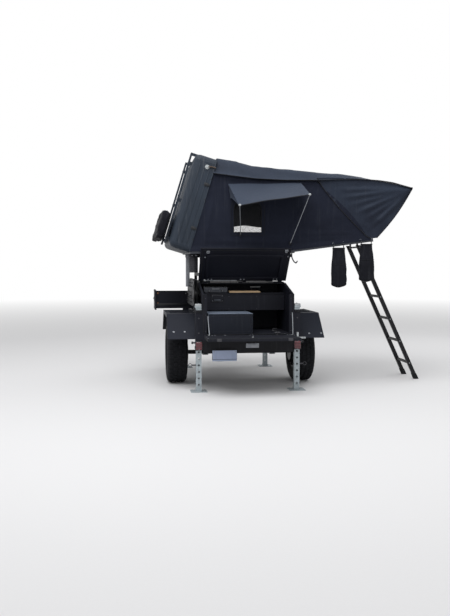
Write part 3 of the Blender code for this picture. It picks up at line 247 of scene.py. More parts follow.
def startGroup(name, inputs, outputs):
    tree = bpy.data.node_groups.new(name, "ShaderNodeTree")
    for label, value in inputs.items():
        kind = "NodeSocketColor" if isinstance(value, tuple) else "NodeSocketFloat"
        socket = tree.interface.new_socket(label, in_out="INPUT", socket_type=kind)
        socket.default_value = (*value, 1.0) if isinstance(value, tuple) else value
    for label in outputs:
        kind = "NodeSocketColor" if label == "Colour" else "NodeSocketFloat"
        tree.interface.new_socket(label, in_out="OUTPUT", socket_type=kind)
    return tree, tree.nodes.new("NodeGroupInput").outputs, tree.nodes.new("NodeGroupOutput").inputs


def roadGrimeGroup():  # settled dust, dried rain runs and a faint cloudiness over any paint
    inputs = {"Colour": (0.02, 0.02, 0.03), "Dust Colour": (0.075, 0.080, 0.092), "Dust": 0.3, "Runs": 0.2}
    inputs |= {"Cloud": 0.3, "Roughness": 0.5, "Roughness Spread": 0.15}
    tree, given, result = startGroup("roadGrime", inputs, ["Colour", "Roughness"])
    place = objectPlace(tree)
    cloud = noiseValue(tree, place, 2.3, 6.0, 0.6)
    bright = spread(tree, cloud, 0.3, 0.7, 0.78, 1.25)
    clouded = mixColour(tree, given["Cloud"], given["Colour"], brighten(tree, given["Colour"], bright))
    upward = axesOf(tree, surfaceNormal(tree))["Z"]
    level = spread(tree, upward, 0.35, 0.95)
    fine = spread(tree, noiseValue(tree, place, 45.0, 5.0, 0.7), 0.38, 0.68)
    settled = maths(tree, "MULTIPLY", maths(tree, "MULTIPLY_ADD", fine, 0.6, 0.25), level)
    dusted = mixColour(tree, maths(tree, "MULTIPLY", settled, given["Dust"]), clouded, given["Dust Colour"])
    run = spread(tree, noiseValue(tree, stretchedPlace(tree, place, (30.0, 30.0, 1.6)), 1.0, 3.0), 0.56, 0.72)
    upright = maths(tree, "SUBTRACT", 1.0, maths(tree, "ABSOLUTE", upward))
    runMask = maths(tree, "MULTIPLY", maths(tree, "MULTIPLY", run, upright), given["Runs"])
    tree.links.new(mixColour(tree, runMask, dusted, given["Dust Colour"]), result["Colour"])
    rougher = maths(tree, "MULTIPLY", maths(tree, "SUBTRACT", cloud, 0.5), given["Roughness Spread"])
    matt = maths(tree, "MULTIPLY_ADD", settled, 0.25, maths(tree, "ADD", given["Roughness"], rougher))
    tree.links.new(matt, result["Roughness"])
    return tree


def edgeWearGroup():  # 1 on the outer edges, broken up
    tree, given, result = startGroup("edgeWear", {"Radius": 0.003, "Wear": 0.5}, ["Mask"])
    place = objectPlace(tree)
    rounded = newNode(tree, "ShaderNodeBevel", {"Radius": given["Radius"]}, samples=4).outputs[0]
    pair = {0: rounded, 1: surfaceNormal(tree)}
    turn = newNode(tree, "ShaderNodeVectorMath", pair, operation="DOT_PRODUCT").outputs["Value"]
    edge = spread(tree, maths(tree, "SUBTRACT", 1.0, turn), 0.01, 0.14)
    broken = spread(tree, noiseValue(tree, place, 38.0, 4.0, 0.7), 0.42, 0.62)
    tree.links.new(
        maths(tree, "MULTIPLY", maths(tree, "MULTIPLY", edge, broken), given["Wear"]), result["Mask"]
    )
    return tree


def coatGrainGroup():  # pebbled powder coat
    tree, given, result = startGroup("coatGrain", {"Scale": 900.0}, ["Height"])
    place = objectPlace(tree)
    pebble = newNode(
        tree, "ShaderNodeTexVoronoi", {"Vector": place, "Scale": given["Scale"]}, feature="SMOOTH_F1"
    )
    fine = noiseValue(tree, place, 260.0, 3.0)
    tree.links.new(maths(tree, "MULTIPLY_ADD", pebble.outputs["Distance"], 0.7, fine), result["Height"])
    return tree


def wovenClothGroup():  # plain weave with a ripstop grid, laid along the trailer's axes
    inputs = {
        "Colour": (0.03, 0.03, 0.04), "Faded": (0.05, 0.05, 0.06), "Thread": 0.0012, "Ripstop": 0.012,
        "Fade": 0.5,
    }
    tree, given, result = startGroup("wovenCloth", inputs, ["Colour", "Height"])
    place = objectPlace(tree)
    along = axesOf(tree, place)
    facing = axesOf(tree, surfaceNormal(tree))
    steep = [maths(tree, "POWER", maths(tree, "ABSOLUTE", facing[axis]), 6.0) for axis in "XYZ"]
    total = maths(tree, "ADD", maths(tree, "ADD", steep[0], steep[1]), steep[2])
    wave = maths(tree, "DIVIDE", math.pi, given["Thread"])
    crossing = {}
    line = {}
    for axis in "XYZ":
        crossing[axis] = maths(tree, "SINE", maths(tree, "MULTIPLY", along[axis], wave))
        saw = maths(tree, "PINGPONG", along[axis], given["Ripstop"])
        line[axis] = maths(tree, "LESS_THAN", saw, 0.0006)
    height = 0.0
    grid = 0.0
    for share, pair in zip(steep, ("YZ", "XZ", "XY")):
        part = maths(tree, "DIVIDE", share, total)
        knot = maths(tree, "MULTIPLY", crossing[pair[0]], crossing[pair[1]])
        height = maths(tree, "MULTIPLY_ADD", knot, part, height)
        both = maths(tree, "MAXIMUM", line[pair[0]], line[pair[1]])
        grid = maths(tree, "MULTIPLY_ADD", both, part, grid)
    tree.links.new(maths(tree, "MULTIPLY_ADD", grid, 0.8, height), result["Height"])
    # random pale patches, plus painted sky light: upward faces are mixed towards the paler colour
    patch = spread(tree, noiseValue(tree, place, 1.7, 5.0, 0.62), 0.35, 0.68)
    sky = spread(tree, facing["Z"], -0.2, 0.9)
    patchAndSkyLit = maths(
        tree, "MULTIPLY", maths(tree, "MULTIPLY_ADD", patch, 0.45, maths(tree, "MULTIPLY", sky, 0.55)),
        given["Fade"],
    )
    weave = spread(tree, height, -1.0, 1.0, 0.88, 1.12)
    base = mixColour(tree, patchAndSkyLit, given["Colour"], given["Faded"])
    tree.links.new(brighten(tree, base, weave), result["Colour"])
    return tree


def metalSkinGroup():  # zinc spangle or brushed grain, by its two scales
    inputs = {
        "Colour": (0.5, 0.5, 0.5), "Shade": (0.35, 0.36, 0.38), "Spangle": 60.0, "Brushed": 220.0,
        "Roughness": 0.4,
    }
    tree, given, result = startGroup("metalSkin", inputs, ["Colour", "Roughness", "Height"])
    place = objectPlace(tree)
    cells = newNode(tree, "ShaderNodeTexVoronoi", {"Vector": place, "Scale": given["Spangle"]})
    grey = newNode(tree, "ShaderNodeSeparateColor", {0: cells.outputs["Color"]}).outputs[0]
    stroke = noiseValue(tree, stretchedPlace(tree, place, (0.05, 1.0, 1.0)), given["Brushed"], 3.0)
    dull = noiseValue(tree, place, 5.0, 5.0)
    mixed = maths(
        tree, "MULTIPLY_ADD", grey, 0.45,
        maths(tree, "MULTIPLY_ADD", stroke, 0.3, maths(tree, "MULTIPLY", dull, 0.35)),
    )
    tree.links.new(mixColour(tree, mixed, given["Shade"], given["Colour"]), result["Colour"])
    tree.links.new(
        maths(tree, "MULTIPLY_ADD", maths(tree, "SUBTRACT", mixed, 0.5), 0.3, given["Roughness"]),
        result["Roughness"],
    )
    tree.links.new(maths(tree, "MULTIPLY_ADD", stroke, 0.4, grey), result["Height"])
    return tree


effects = {
    "grime": roadGrimeGroup(), "wear": edgeWearGroup(), "grain": coatGrainGroup(),
    "cloth": wovenClothGroup(), "metal": metalSkinGroup(),
}


def startLook(name):
    look = bpy.data.materials.new(name)
    look.use_nodes = True
    return look, look.node_tree, look.node_tree.nodes["Principled BSDF"]


def placeEffect(tree, effect, **values):
    inputs = {key: (*value, 1.0) if isinstance(value, tuple) else value for key, value in values.items()}
    return newNode(tree, "ShaderNodeGroup", inputs, node_tree=effects[effect]).outputs


def coverWith(tree, shader, colour, roughness):
    tree.links.new(colour, shader.inputs["Base Color"])
    tree.links.new(roughness, shader.inputs["Roughness"])


def bumpFrom(tree, shader, height, strength, distance):
    inputs = {"Height": height, "Strength": strength, "Distance": distance}
    tree.links.new(newNode(tree, "ShaderNodeBump", inputs).outputs[0], shader.inputs["Normal"])


def paintLook(name, colour, roughness, grain, worn, dust=0.35, runs=0.25, coat=0.0):
    look, tree, shader = startLook(name)
    grime = placeEffect(tree, "grime", Colour=colour, Dust=dust, Runs=runs, Roughness=roughness, Cloud=0.6)
    mask = placeEffect(tree, "wear", Radius=0.003, Wear=worn)["Mask"]
    bare = (0.075, 0.078, 0.088, 1.0)
    coverWith(tree, shader, mixColour(tree, mask, grime["Colour"], bare), grime["Roughness"])
    setShader(shader, Specular_IOR_Level=0.22, Coat_Weight=coat)
    bumpFrom(tree, shader, placeEffect(tree, "grain", Scale=grain)["Height"], 0.35, 0.0006)
    return look


def metalLook(name, colour, shade, spangle, brushed, roughness, metallic=0.85):
    look, tree, shader = startLook(name)
    skin = placeEffect(
        tree, "metal", Colour=colour, Shade=shade, Spangle=spangle, Brushed=brushed, Roughness=roughness
    )
    grime = placeEffect(
        tree, "grime", Colour=skin["Colour"], Dust=0.25, Runs=0.25, Roughness=skin["Roughness"]
    )
    coverWith(tree, shader, grime["Colour"], grime["Roughness"])
    setShader(shader, Metallic=metallic)
    bumpFrom(tree, shader, skin["Height"], 0.15, 0.0004)
    return look


def clothLook(name, colour, patchAndSkyLit, thread=0.0012, ripstop=0.012, paleShare=0.6, roughness=0.78):
    look, tree, shader = startLook(name)
    # the paler second colour goes on random patches and, as painted sky light, on upward faces
    cloth = placeEffect(tree, "cloth", Colour=colour, Faded=patchAndSkyLit, Thread=thread, Ripstop=ripstop, Fade=paleShare)
    grime = placeEffect(tree, "grime", Colour=cloth["Colour"], Dust=0.12, Runs=0.10, Roughness=roughness)
    coverWith(tree, shader, grime["Colour"], grime["Roughness"])
    setShader(shader, Specular_IOR_Level=0.15, Sheen_Weight=0.04, Sheen_Roughness=0.5)
    crumple = noiseValue(tree, objectPlace(tree), 16.0, 4.0, 0.55)
    both = maths(tree, "MULTIPLY_ADD", cloth["Height"], 0.03, crumple)
    bumpFrom(tree, shader, both, 0.45, 0.006)
    return look


mouldedCut = {"grime": (0.3, 0.45, 0.7), "level": 0.3, "grain": 420.0, "bump": (0.3, 0.0008)}
rubberCut = {"grime": (0.5, 0.3, 0.9), "level": 0.2, "grain": 500.0, "bump": (0.25, 0.0006)}


def mouldedLook(name, colour, roughness, settings=mouldedCut):
    look, tree, shader = startLook(name)
    dust, runs, cloud = settings["grime"]
    grime = placeEffect(tree, "grime", Colour=colour, Dust=dust, Runs=runs, Roughness=roughness, Cloud=cloud)
    coverWith(tree, shader, grime["Colour"], grime["Roughness"])
    setShader(shader, Specular_IOR_Level=settings["level"])
    bumpFrom(tree, shader, placeEffect(tree, "grain", Scale=settings["grain"])["Height"], *settings["bump"])
    return look


def bambooLook(name):
    look, tree, shader = startLook(name)
    place = objectPlace(tree)
    strand = noiseValue(tree, stretchedPlace(tree, place, (3.0, 90.0, 90.0)), 1.0, 5.0)
    strips = newNode(tree, "ShaderNodeTexBrick", {"Vector": place, "Scale": 9.0, "Mortar Size": 0.006})
    wood = mixColour(tree, spread(tree, strand, 0.3, 0.7), (0.34, 0.22, 0.115, 1), (0.55, 0.40, 0.24, 1))
    grooved = mixColour(tree, strips.outputs["Fac"], wood, (0.16, 0.10, 0.05, 1))
    coverWith(tree, shader, grooved, spread(tree, strand, 0.2, 0.8, 0.38, 0.62))
    bumpFrom(tree, shader, strand, 0.2, 0.0005)
    return look


def lensLook(name):
    look, tree, shader = startLook(name)
    place = objectPlace(tree)
    cell = newNode(tree, "ShaderNodeTexVoronoi", {"Vector": place, "Scale": 190.0}).outputs["Distance"]
    tint = mixColour(tree, spread(tree, cell, 0.0, 0.8), (0.16, 0.010, 0.020, 1), (0.05, 0.004, 0.009, 1))
    tree.links.new(tint, shader.inputs["Base Color"])
    setShader(shader, Roughness=0.18, Coat_Weight=0.6)
    bumpFrom(tree, shader, cell, 0.5, 0.0015)
    return look


def screenLook(name):  # insect mesh: threads with open holes between them
    look, tree, shader = startLook(name)
    place = objectPlace(tree)
    along = axesOf(tree, place)
    solid = 0.0
    for axis in "XZ":
        saw = maths(tree, "PINGPONG", along[axis], 0.0009)
        solid = maths(tree, "MAXIMUM", maths(tree, "LESS_THAN", saw, 0.00014), solid)
    tree.links.new(solid, shader.inputs["Alpha"])
    shade = noiseValue(tree, place, 8.0)
    tree.links.new(
        mixColour(tree, shade, (0.010, 0.011, 0.014, 1), (0.022, 0.024, 0.03, 1)), shader.inputs["Base Color"]
    )
    setShader(shader, Roughness=0.7)
    return look


looks = {
    "tub_black": paintLook("tubBlack", (0.0046, 0.0054, 0.0105), 0.58, 620.0, 0.22, dust=0.1, runs=0.1),
    "sheet_black": paintLook("fenderBlack", (0.0068, 0.0088, 0.0165), 0.54, 900.0, 0.25, dust=0.1, runs=0.1),
    "chassis_black": paintLook(
        "chassisBlack", (0.004, 0.0042, 0.0065), 0.58, 900.0, 0.25, dust=0.1, runs=0.15
    ),
    "drawer_grey": paintLook("drawerGrey", (0.0064, 0.0086, 0.0155), 0.48, 900.0, 0.35, dust=0.22, runs=0.1),
    "rim_black": paintLook("rimBlack", (0.014, 0.014, 0.016), 0.34, 1200.0, 0.3, coat=0.3),
    "plate_white": paintLook("plateWhite", (0.34, 0.395, 0.54), 0.45, 1500.0, 0.1, dust=0.3),
    "ladder_black": paintLook("ladderBlack", (0.007, 0.007, 0.009), 0.42, 1200.0, 0.35, dust=0.2),
    "dark_steel": metalLook("darkSteel", (0.10, 0.10, 0.11), (0.03, 0.03, 0.035), 80.0, 300.0, 0.42),
    "galvanised": metalLook("galvanised", (0.42, 0.475, 0.50), (0.25, 0.285, 0.31), 55.0, 120.0, 0.5, 0.25),
    "aluminium": metalLook("millAluminium", (0.30, 0.31, 0.34), (0.16, 0.17, 0.19), 20.0, 380.0, 0.42, 0.6),
    "bamboo": bambooLook("bamboo"),
    "red_lens": lensLook("redLens"),
    "rubber": mouldedLook("tyreRubber", (0.0085, 0.009, 0.011), 0.85, rubberCut),
    "tent_cover": mouldedLook("mouldedCover", (0.013, 0.0205, 0.033), 0.5),
    "tent_fabric": clothLook("tentCloth", (0.0068, 0.0088, 0.018), (0.013, 0.0165, 0.030)),
}
extraLooks = {
    # the fly's high share of the paler colour paints sky light on its upward top
    "flyCloth": clothLook(
        "flyCloth", (0.0095, 0.0125, 0.023), (0.030, 0.042, 0.066), paleShare=0.9, roughness=0.6
    ),
    # lighter colours than the tent cloth: painted sky light on the awning's upward slope
    "skyLitAwningCloth": clothLook(
        "skyLitAwningCloth", (0.023, 0.031, 0.050), (0.036, 0.048, 0.074), paleShare=0.6, roughness=0.62
    ),
    "webbing": clothLook("webbing", (0.010, 0.011, 0.014), (0.02, 0.02, 0.025), thread=0.0022, ripstop=0.02),
    "zinc": metalLook("zincPlate", (0.34, 0.355, 0.38), (0.20, 0.215, 0.24), 160.0, 400.0, 0.4, 0.5),
    "whitePlastic": mouldedLook("whiteCap", (0.36, 0.38, 0.39), 0.45),
    "blackPlastic": mouldedLook("blackPlastic", (0.012, 0.013, 0.016), 0.4),
    "screen": screenLook("insectScreen"),
    "bagCloth": clothLook(
        "bagCloth", (0.0024, 0.0027, 0.0058), (0.0045, 0.0055, 0.010), thread=0.0016, ripstop=0.03,
        roughness=0.7,
    ),
    "tanWebbing": clothLook(
        "tanWebbing", (0.075, 0.055, 0.045), (0.10, 0.08, 0.065), thread=0.002, ripstop=0.02
    ),
    "boardPlastic": mouldedLook("boardPlastic", (0.012, 0.0125, 0.015), 0.5),
    "baseSheet": metalLook("baseSheet", (0.045, 0.050, 0.062), (0.022, 0.025, 0.034), 20.0, 300.0, 0.5, 0.3),
    # brighter and bluer than mill aluminium: a painted sky reflection on the drawer case's top
    "caseSheetSkyGlare": metalLook("caseSheetSkyGlare", (0.24, 0.29, 0.38), (0.15, 0.185, 0.25), 18.0, 260.0, 0.4, 0.4),
    "lightTube": mouldedLook("lightTube", (0.22, 0.23, 0.24), 0.25),
    "rustBolt": metalLook("rustBolt", (0.30, 0.13, 0.05), (0.14, 0.06, 0.03), 160.0, 300.0, 0.6, 0.3),
}


# the rear drawer case takes a finish with a painted sky reflection
nodeLooks = {
    "tent_base": "baseSheet", "tent_floor": "baseSheet", "stove": "baseSheet", "rear_drawer_case": "caseSheetSkyGlare"
}


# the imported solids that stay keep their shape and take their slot's finish, or their own
def dressNode(name):
    node = nodes[name]
    look = extraLooks[nodeLooks[name]] if name in nodeLooks else looks[slotOf[name]]
    if not node.material_slots:
        node.data.materials.append(look)
    for place in node.material_slots:
        place.material = look


for nodeName in nodes:
    dressNode(nodeName)

print("tools: small mesh makers")


def addPiece(name, work, pieceLooks, body, sharp=38.0, seam=0.00001):
    bmesh.ops.remove_doubles(work, verts=work.verts, dist=seam)
    bmesh.ops.translate(work, vec=trailerOrigin, verts=work.verts)
    mesh = bpy.data.meshes.new(name)
    work.to_mesh(mesh)
    work.free()
    for look in pieceLooks:
        mesh.materials.append(look)
    mesh.shade_smooth()
    mesh.set_sharp_from_angle(angle=math.radians(sharp))
    made = bpy.data.objects.new(name, mesh)
    bpy.context.scene.collection.objects.link(made)
    if body:
        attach(made, body)
    return made


def setLook(verts, index):
    for face in {face for vert in verts for face in vert.link_faces}:
        face.material_index = index


def addBox(work, low, high, look=0, turn=None, round=0.0):
    low, high = Vector(low), Vector(high)
    made = bmesh.ops.create_cube(work, size=1.0)["verts"]
    bmesh.ops.scale(work, vec=high - low, verts=made)
    if round:
        edges = list({edge for vert in made for edge in vert.link_edges})
        grown = bmesh.ops.bevel(work, geom=edges, offset=round, segments=2, affect="EDGES", profile=0.5)
        made = list({vert for face in grown["faces"] for vert in face.verts})
    if turn:
        bmesh.ops.transform(work, matrix=turn, verts=made)
    bmesh.ops.translate(work, vec=(low + high) / 2, verts=made)
    setLook(made, look)
    return made


def addRod(work, start, end, radius, sides=12, look=0, endRadius=None):
    start, end = Vector(start), Vector(end)
    along = end - start
    place = Matrix.Translation((start + end) / 2) @ along.to_track_quat("Z", "Y").to_matrix().to_4x4()
    tip = radius if endRadius is None else endRadius
    made = bmesh.ops.create_cone(
        work, cap_ends=True, segments=sides, radius1=radius, radius2=tip, depth=along.length, matrix=place
    )
    setLook(made["verts"], look)
    return made["verts"]


def addBall(work, centre, radius, look=0, squash=(1, 1, 1)):
    place = Matrix.Translation(centre) @ Matrix.Diagonal((*squash, 1.0))
    made = bmesh.ops.create_uvsphere(work, u_segments=16, v_segments=10, radius=radius, matrix=place)
    setLook(made["verts"], look)
    return made["verts"]


# a round cord or pipe through the points, with closed ends
def addTube(work, path, radius, sides=10, look=0):
    path = [Vector(point) for point in path]
    across = None
    rings = []
    for index, point in enumerate(path):
        ahead = (path[min(index + 1, len(path) - 1)] - path[max(index - 1, 0)]).normalized()
        if across is None:
            across = ahead.orthogonal().normalized()
        across = (across - ahead * across.dot(ahead)).normalized()
        other = ahead.cross(across)
        angles = [math.tau * step / sides for step in range(sides)]
        rings.append(
            [work.verts.new(point + (across * math.cos(a) + other * math.sin(a)) * radius) for a in angles]
        )
    for ring, following in zip(rings, rings[1:]):
        for step in range(sides):
            after = (step + 1) % sides
            work.faces.new((ring[step], ring[after], following[after], following[step])).material_index = look
    work.faces.new(list(reversed(rings[0]))).material_index = look
    work.faces.new(rings[-1]).material_index = look


def addBolt(work, place, out, radius=0.007, look=0):  # washer, hexagon head and a domed tip
    place, out = Vector(place), Vector(out).normalized()
    addRod(work, place - out * 0.001, place + out * 0.0015, radius * 1.55, 18, look)
    addRod(work, place, place + out * radius * 0.75, radius, 6, look)
    addRod(
        work, place + out * radius * 0.6, place + out * radius * 1.0, radius * 0.72, 10, look, radius * 0.3
    )


def addBlock(work, centre, size, look=0, round=0.0):
    centre, half = Vector(centre), Vector(size) / 2
    return addBox(work, centre - half, centre + half, look, None, round)


def addTilted(work, place, spans, turn, look=0, round=0.0):  # a box on a tilted plate, from its spans there
    middle = place(*(sum(span) / 2 for span in spans))
    half = Vector([(span[1] - span[0]) / 2 for span in spans])
    addBox(work, middle - half, middle + half, look, turn, round)


def addStretches(work, points, radius, sides=8, look=0):  # a straight tube for each stretch of a path
    for start, end in zip(points, points[1:]):
        addTube(work, [start, end], radius, sides, look)


def ringPath(centre, across, up, steps=24):
    centre, across, up = Vector(centre), Vector(across), Vector(up)
    angles = [math.tau * step / steps for step in range(steps + 1)]
    return [centre + across * math.cos(a) + up * math.sin(a) for a in angles]


def softCircle(angle, soft):  # a circle's two shares, squarer the lower soft is
    c, s = math.cos(angle), math.sin(angle)
    return math.copysign(abs(c) ** soft, c), math.copysign(abs(s) ** soft, s)


def ruffle(x, y, z, height, octaves):  # small uneven waves of cloth
    return noise.fractal(Vector((x, y, z)), 0.6, 2.2, octaves) * height


def smoothPath(points, steps=8):  # a soft curve through a few points
    points = [Vector(point) for point in points]
    padded = [points[0] * 2 - points[1], *points, points[-1] * 2 - points[-2]]
    path = []
    for before, start, end, after in zip(padded, padded[1:], padded[2:], padded[3:]):
        for step in range(steps):
            t = step / steps
            bend = (before * -1 + start * 3 - end * 3 + after) * t**3
            bend += (before * 2 - start * 5 + end * 4 - after) * t**2 + (end - before) * t
            path.append(start + bend / 2)
    return [*path, points[-1]]


def easeBetween(value, low, high):
    t = min(max((value - low) / (high - low), 0.0), 1.0)
    return t * t * (3 - 2 * t)


def awayFrom(point, start, end):  # distance to a line's stretch, and the share along it
    along = end - start
    share = min(max((point - start).dot(along) / along.length_squared, 0.0), 1.0)
    return (start + along * share - point).length, share


def foldHeight(point, folds):  # each fold: start, end, height, half width
    height = 0.0
    for start, end, rise, reach in folds:
        away, share = awayFrom(point, Vector(start), Vector(end))
        ends = math.sin(math.pi * min(max(share, 0.04), 0.96)) ** 0.5
        height += rise * math.exp(-((away / reach) ** 2)) * ends
    return height


def insidePolygon(point, corners):
    inside = False
    for (x1, z1), (x2, z2) in zip(corners, [*corners[1:], corners[0]]):
        if (z1 > point[1]) != (z2 > point[1]) and point[0] < (x2 - x1) * (point[1] - z1) / (z2 - z1) + x1:
            inside = not inside
    return inside


def resample(corners, spacing, closed=True):
    path = []
    ends = [*corners[1:], corners[0]] if closed else corners[1:]
    for start, end in zip(corners, ends):
        start, end = Vector(start), Vector(end)
        count = max(1, round((end - start).length / spacing))
        path += [start.lerp(end, step / count) for step in range(count)]
    return path if closed else [*path, Vector(corners[-1])]


# flat pattern: points and triangles inside the outline and outside its holes
def cutPanel(outline, holes, spacing):
    loops = [resample(loop, spacing) for loop in (outline, *holes)]
    points = []
    edges = []
    for loop in loops:
        first = len(points)
        points += loop
        edges += [(first + index, first + (index + 1) % len(loop)) for index in range(len(loop))]
    bounds = [
        min(c[0] for c in outline), max(c[0] for c in outline), min(c[1] for c in outline),
        max(c[1] for c in outline),
    ]
    border = [(points[a], points[b]) for a, b in edges]
    row = 0
    height = bounds[2] + spacing / 2
    while height < bounds[3]:
        across = bounds[0] + spacing * (0.5 if row % 2 else 1.0)
        while across < bounds[1]:
            point = Vector((across, height))
            if insidePolygon(point, outline) and not any(insidePolygon(point, hole) for hole in holes):
                if min(awayFrom(point, a, b)[0] for a, b in border) > spacing * 0.45:
                    points.append(point)
            across += spacing
        height += spacing * 0.866
        row += 1
    made = geometry.delaunay_2d_cdt(points, edges, [], 0, 0.00001)
    spots, faces = made[0], made[2]
    kept = []
    for face in faces:
        middle = sum((spots[index] for index in face), Vector((0, 0))) / len(face)
        if insidePolygon(middle, outline) and not any(insidePolygon(middle, hole) for hole in holes):
            kept.append(face)
    return spots, kept


def addPanel(work, spots, faces, place, look=0, flip=False):
    verts = [work.verts.new(place(spot)) for spot in spots]
    for face in faces:
        corners = [verts[index] for index in (reversed(face) if flip else face)]
        work.faces.new(corners).material_index = look
    for vert in [vert for vert in verts if not vert.link_faces]:
        work.verts.remove(vert)


def addGrid(work, columns, rows, place, look=0, flip=False):  # a sheet from two shares, each from 0 to 1
    verts = [
        [work.verts.new(place(c / columns, r / rows)) for r in range(rows + 1)] for c in range(columns + 1)
    ]
    for c in range(columns):
        for r in range(rows):
            corners = [verts[c][r], verts[c + 1][r], verts[c + 1][r + 1], verts[c][r + 1]]
            work.faces.new(list(reversed(corners)) if flip else corners).material_index = look


def addPlate(work, spots, faces, place, thickness, flip=False):  # a panel made solid and joined to the work
    sheet = bmesh.new()
    addPanel(sheet, spots, faces, place, flip=flip)
    bmesh.ops.solidify(sheet, geom=sheet.faces[:], thickness=thickness)
    mesh = bpy.data.meshes.new("plate")
    sheet.to_mesh(mesh)
    sheet.free()
    work.from_mesh(mesh)
    bpy.data.meshes.remove(mesh)


def areaOf(work):
    return sum(face.calc_area() for face in work.faces)


def palette(*names):  # the finishes of a piece, in the order of its look numbers
    return [looks[name] if name in looks else extraLooks[name] for name in names]


def polyline(points, share):  # the place at a share of the width of a left-to-right line of (x, z) points
    x = points[0][0] + (points[-1][0] - points[0][0]) * share
    for (x1, z1), (x2, z2) in zip(points, points[1:]):
        if x <= x2 + 1e-9:
            return x, z1 + (z2 - z1) * (x - x1) / (x2 - x1)
    return points[-1]


print("tent: canopy")
canopyCut = {
    "nearY": 0.258, "farY": 1.692, "hemStand": 0.017, "spacing": 0.026,
    "foot": (-0.698, 1.716), "bend": (0.45, 1.716), "end": (1.622, 1.868), "ridge": (0.90, 2.60),
    "valley": (0.20, 2.605), "head": (-0.390, 2.705), "seamBow": 0.035,
    "seamShares": (0.1, 0.2, 0.35, 0.5, 0.65, 0.8),
    "window": (-0.15, 0.20, 1.955, 2.36), "farWindow": (-0.15, 0.50, 1.955, 2.36), "cornerRound": 0.12,
    "zipOut": 0.035, "zipTop": 0.03, "proud": 0.002, "screenFolds": (0.36, 0.03),
}
wallFolds = [  # start, end, height out of the wall, half width
    ((0.90, 2.60), (0.455, 1.76), 0.014, 0.020),  # hoop behind the cloth
    ((-0.36, 2.63), (-0.52, 1.78), 0.010, 0.022),
    ((-0.22, 2.52), (-0.17, 1.80), 0.010, 0.028),
    ((-0.36, 2.66), (0.16, 2.575), 0.012, 0.020),
    ((0.25, 2.56), (0.86, 2.585), 0.009, 0.018),
    ((0.52, 1.93), (1.52, 1.96), 0.008, 0.018),
    ((0.60, 1.86), (1.56, 1.915), 0.010, 0.014),
    ((0.55, 2.03), (1.05, 1.98), -0.006, 0.030),
    ((0.86, 2.50), (0.98, 1.98), 0.006, 0.040),
    ((0.30, 1.84), (-0.55, 1.86), 0.006, 0.016),
    ((0.24, 2.25), (0.42, 1.86), 0.006, 0.024),
    ((-0.60, 1.90), (-0.35, 2.60), -0.006, 0.040),
]


def roundedFrame(left, right, low, high, corner, steps=8):  # window outline with arched upper corners
    points = [(left, low), (right, low), (right, high - corner)]
    points += [
        (right - corner + corner * math.cos(a), high - corner + corner * math.sin(a))
        for a in (math.pi / 2 * step / steps for step in range(1, steps + 1))
    ]
    points += [
        (left + corner - corner * math.sin(a), high - corner + corner * math.cos(a))
        for a in (math.pi / 2 * step / steps for step in range(0, steps + 1))
    ]
    return points


def hemLine(x):  # top of the tent's base and floor
    return 1.735 + max(x - canopyCut["bend"][0], 0.0) * math.tan(math.radians(7.5))


def sideWall(settings, side):
    y = settings["nearY"] if side < 0 else settings["farY"]

    def place(spot):
        x, z = spot
        skirt = 1 - easeBetween(z, hemLine(x) + 0.004, hemLine(x) + 0.05)
        folded = foldHeight(Vector((x, z)), wallFolds)
        crumple = ruffle(x * 2.2, z * 4.0, 3.0 * side, 0.006, 4)
        billow = 0.012 * math.sin(math.pi * easeBetween(z, 1.75, 2.65))
        out = settings["hemStand"] * skirt + (folded + crumple + billow) * (1 - skirt)
        return Vector((x, y + side * out, z))

    return place


def canopyPiece(settings):
    end, ridge = Vector(settings["end"]), Vector(settings["ridge"])
    square = Vector((-(ridge - end).y, (ridge - end).x)).normalized()
    bow = square * settings["seamBow"]
    seam = [end.lerp(ridge, t) - bow * math.sin(math.pi * t) ** 1.5 for t in settings["seamShares"]]
    roof = [
        settings["head"], settings["valley"], settings["ridge"], *(tuple(p) for p in reversed(seam)),
        settings["end"],
    ]
    outline = [settings["foot"], settings["bend"], *reversed(roof)]
    work = bmesh.new()
    flatArea = 0.0
    for side, window in ((-1, settings["window"]), (1, settings["farWindow"])):
        hole = roundedFrame(*window, settings["cornerRound"])
        spots, faces = cutPanel(outline, [hole], settings["spacing"])
        before = areaOf(work)
        addPanel(work, spots, faces, lambda spot: Vector((spot[0], 0, spot[1])), flip=side > 0)
        flatArea += areaOf(work) - before
        wall = sideWall(settings, side)
        for vert in [vert for vert in work.verts if abs(vert.co.y) < 1e-9]:
            vert.co = wall((vert.co.x, vert.co.z))
    near, far = settings["nearY"], settings["farY"]
    lengths = [0.0]
    for a, b in zip(roof, roof[1:]):
        lengths.append(lengths[-1] + (Vector(b) - Vector(a)).length)

    def roofPlace(along, across):
        reach = along * lengths[-1]
        index = max(i for i in range(len(lengths) - 1) if lengths[i] <= reach + 1e-9)
        share = (reach - lengths[index]) / (lengths[index + 1] - lengths[index])
        spot = Vector(roof[index]).lerp(Vector(roof[index + 1]), share)
        hang = math.sin(math.pi * across)
        ripple = ruffle(spot.x * 2.0, across * 3.0, 9.0, 0.008, 3) * hang
        return Vector((spot.x, near + (far - near) * across, spot.y - 0.008 * hang + ripple))

    before = areaOf(work)
    addGrid(work, 70, 44, roofPlace)
    flatArea += areaOf(work) - before
    made = addPiece("tentCanopy", work, palette("tent_fabric"), "trailer", 60.0, 0.004)
    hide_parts("tent_canopy")


canopyPiece(canopyCut)


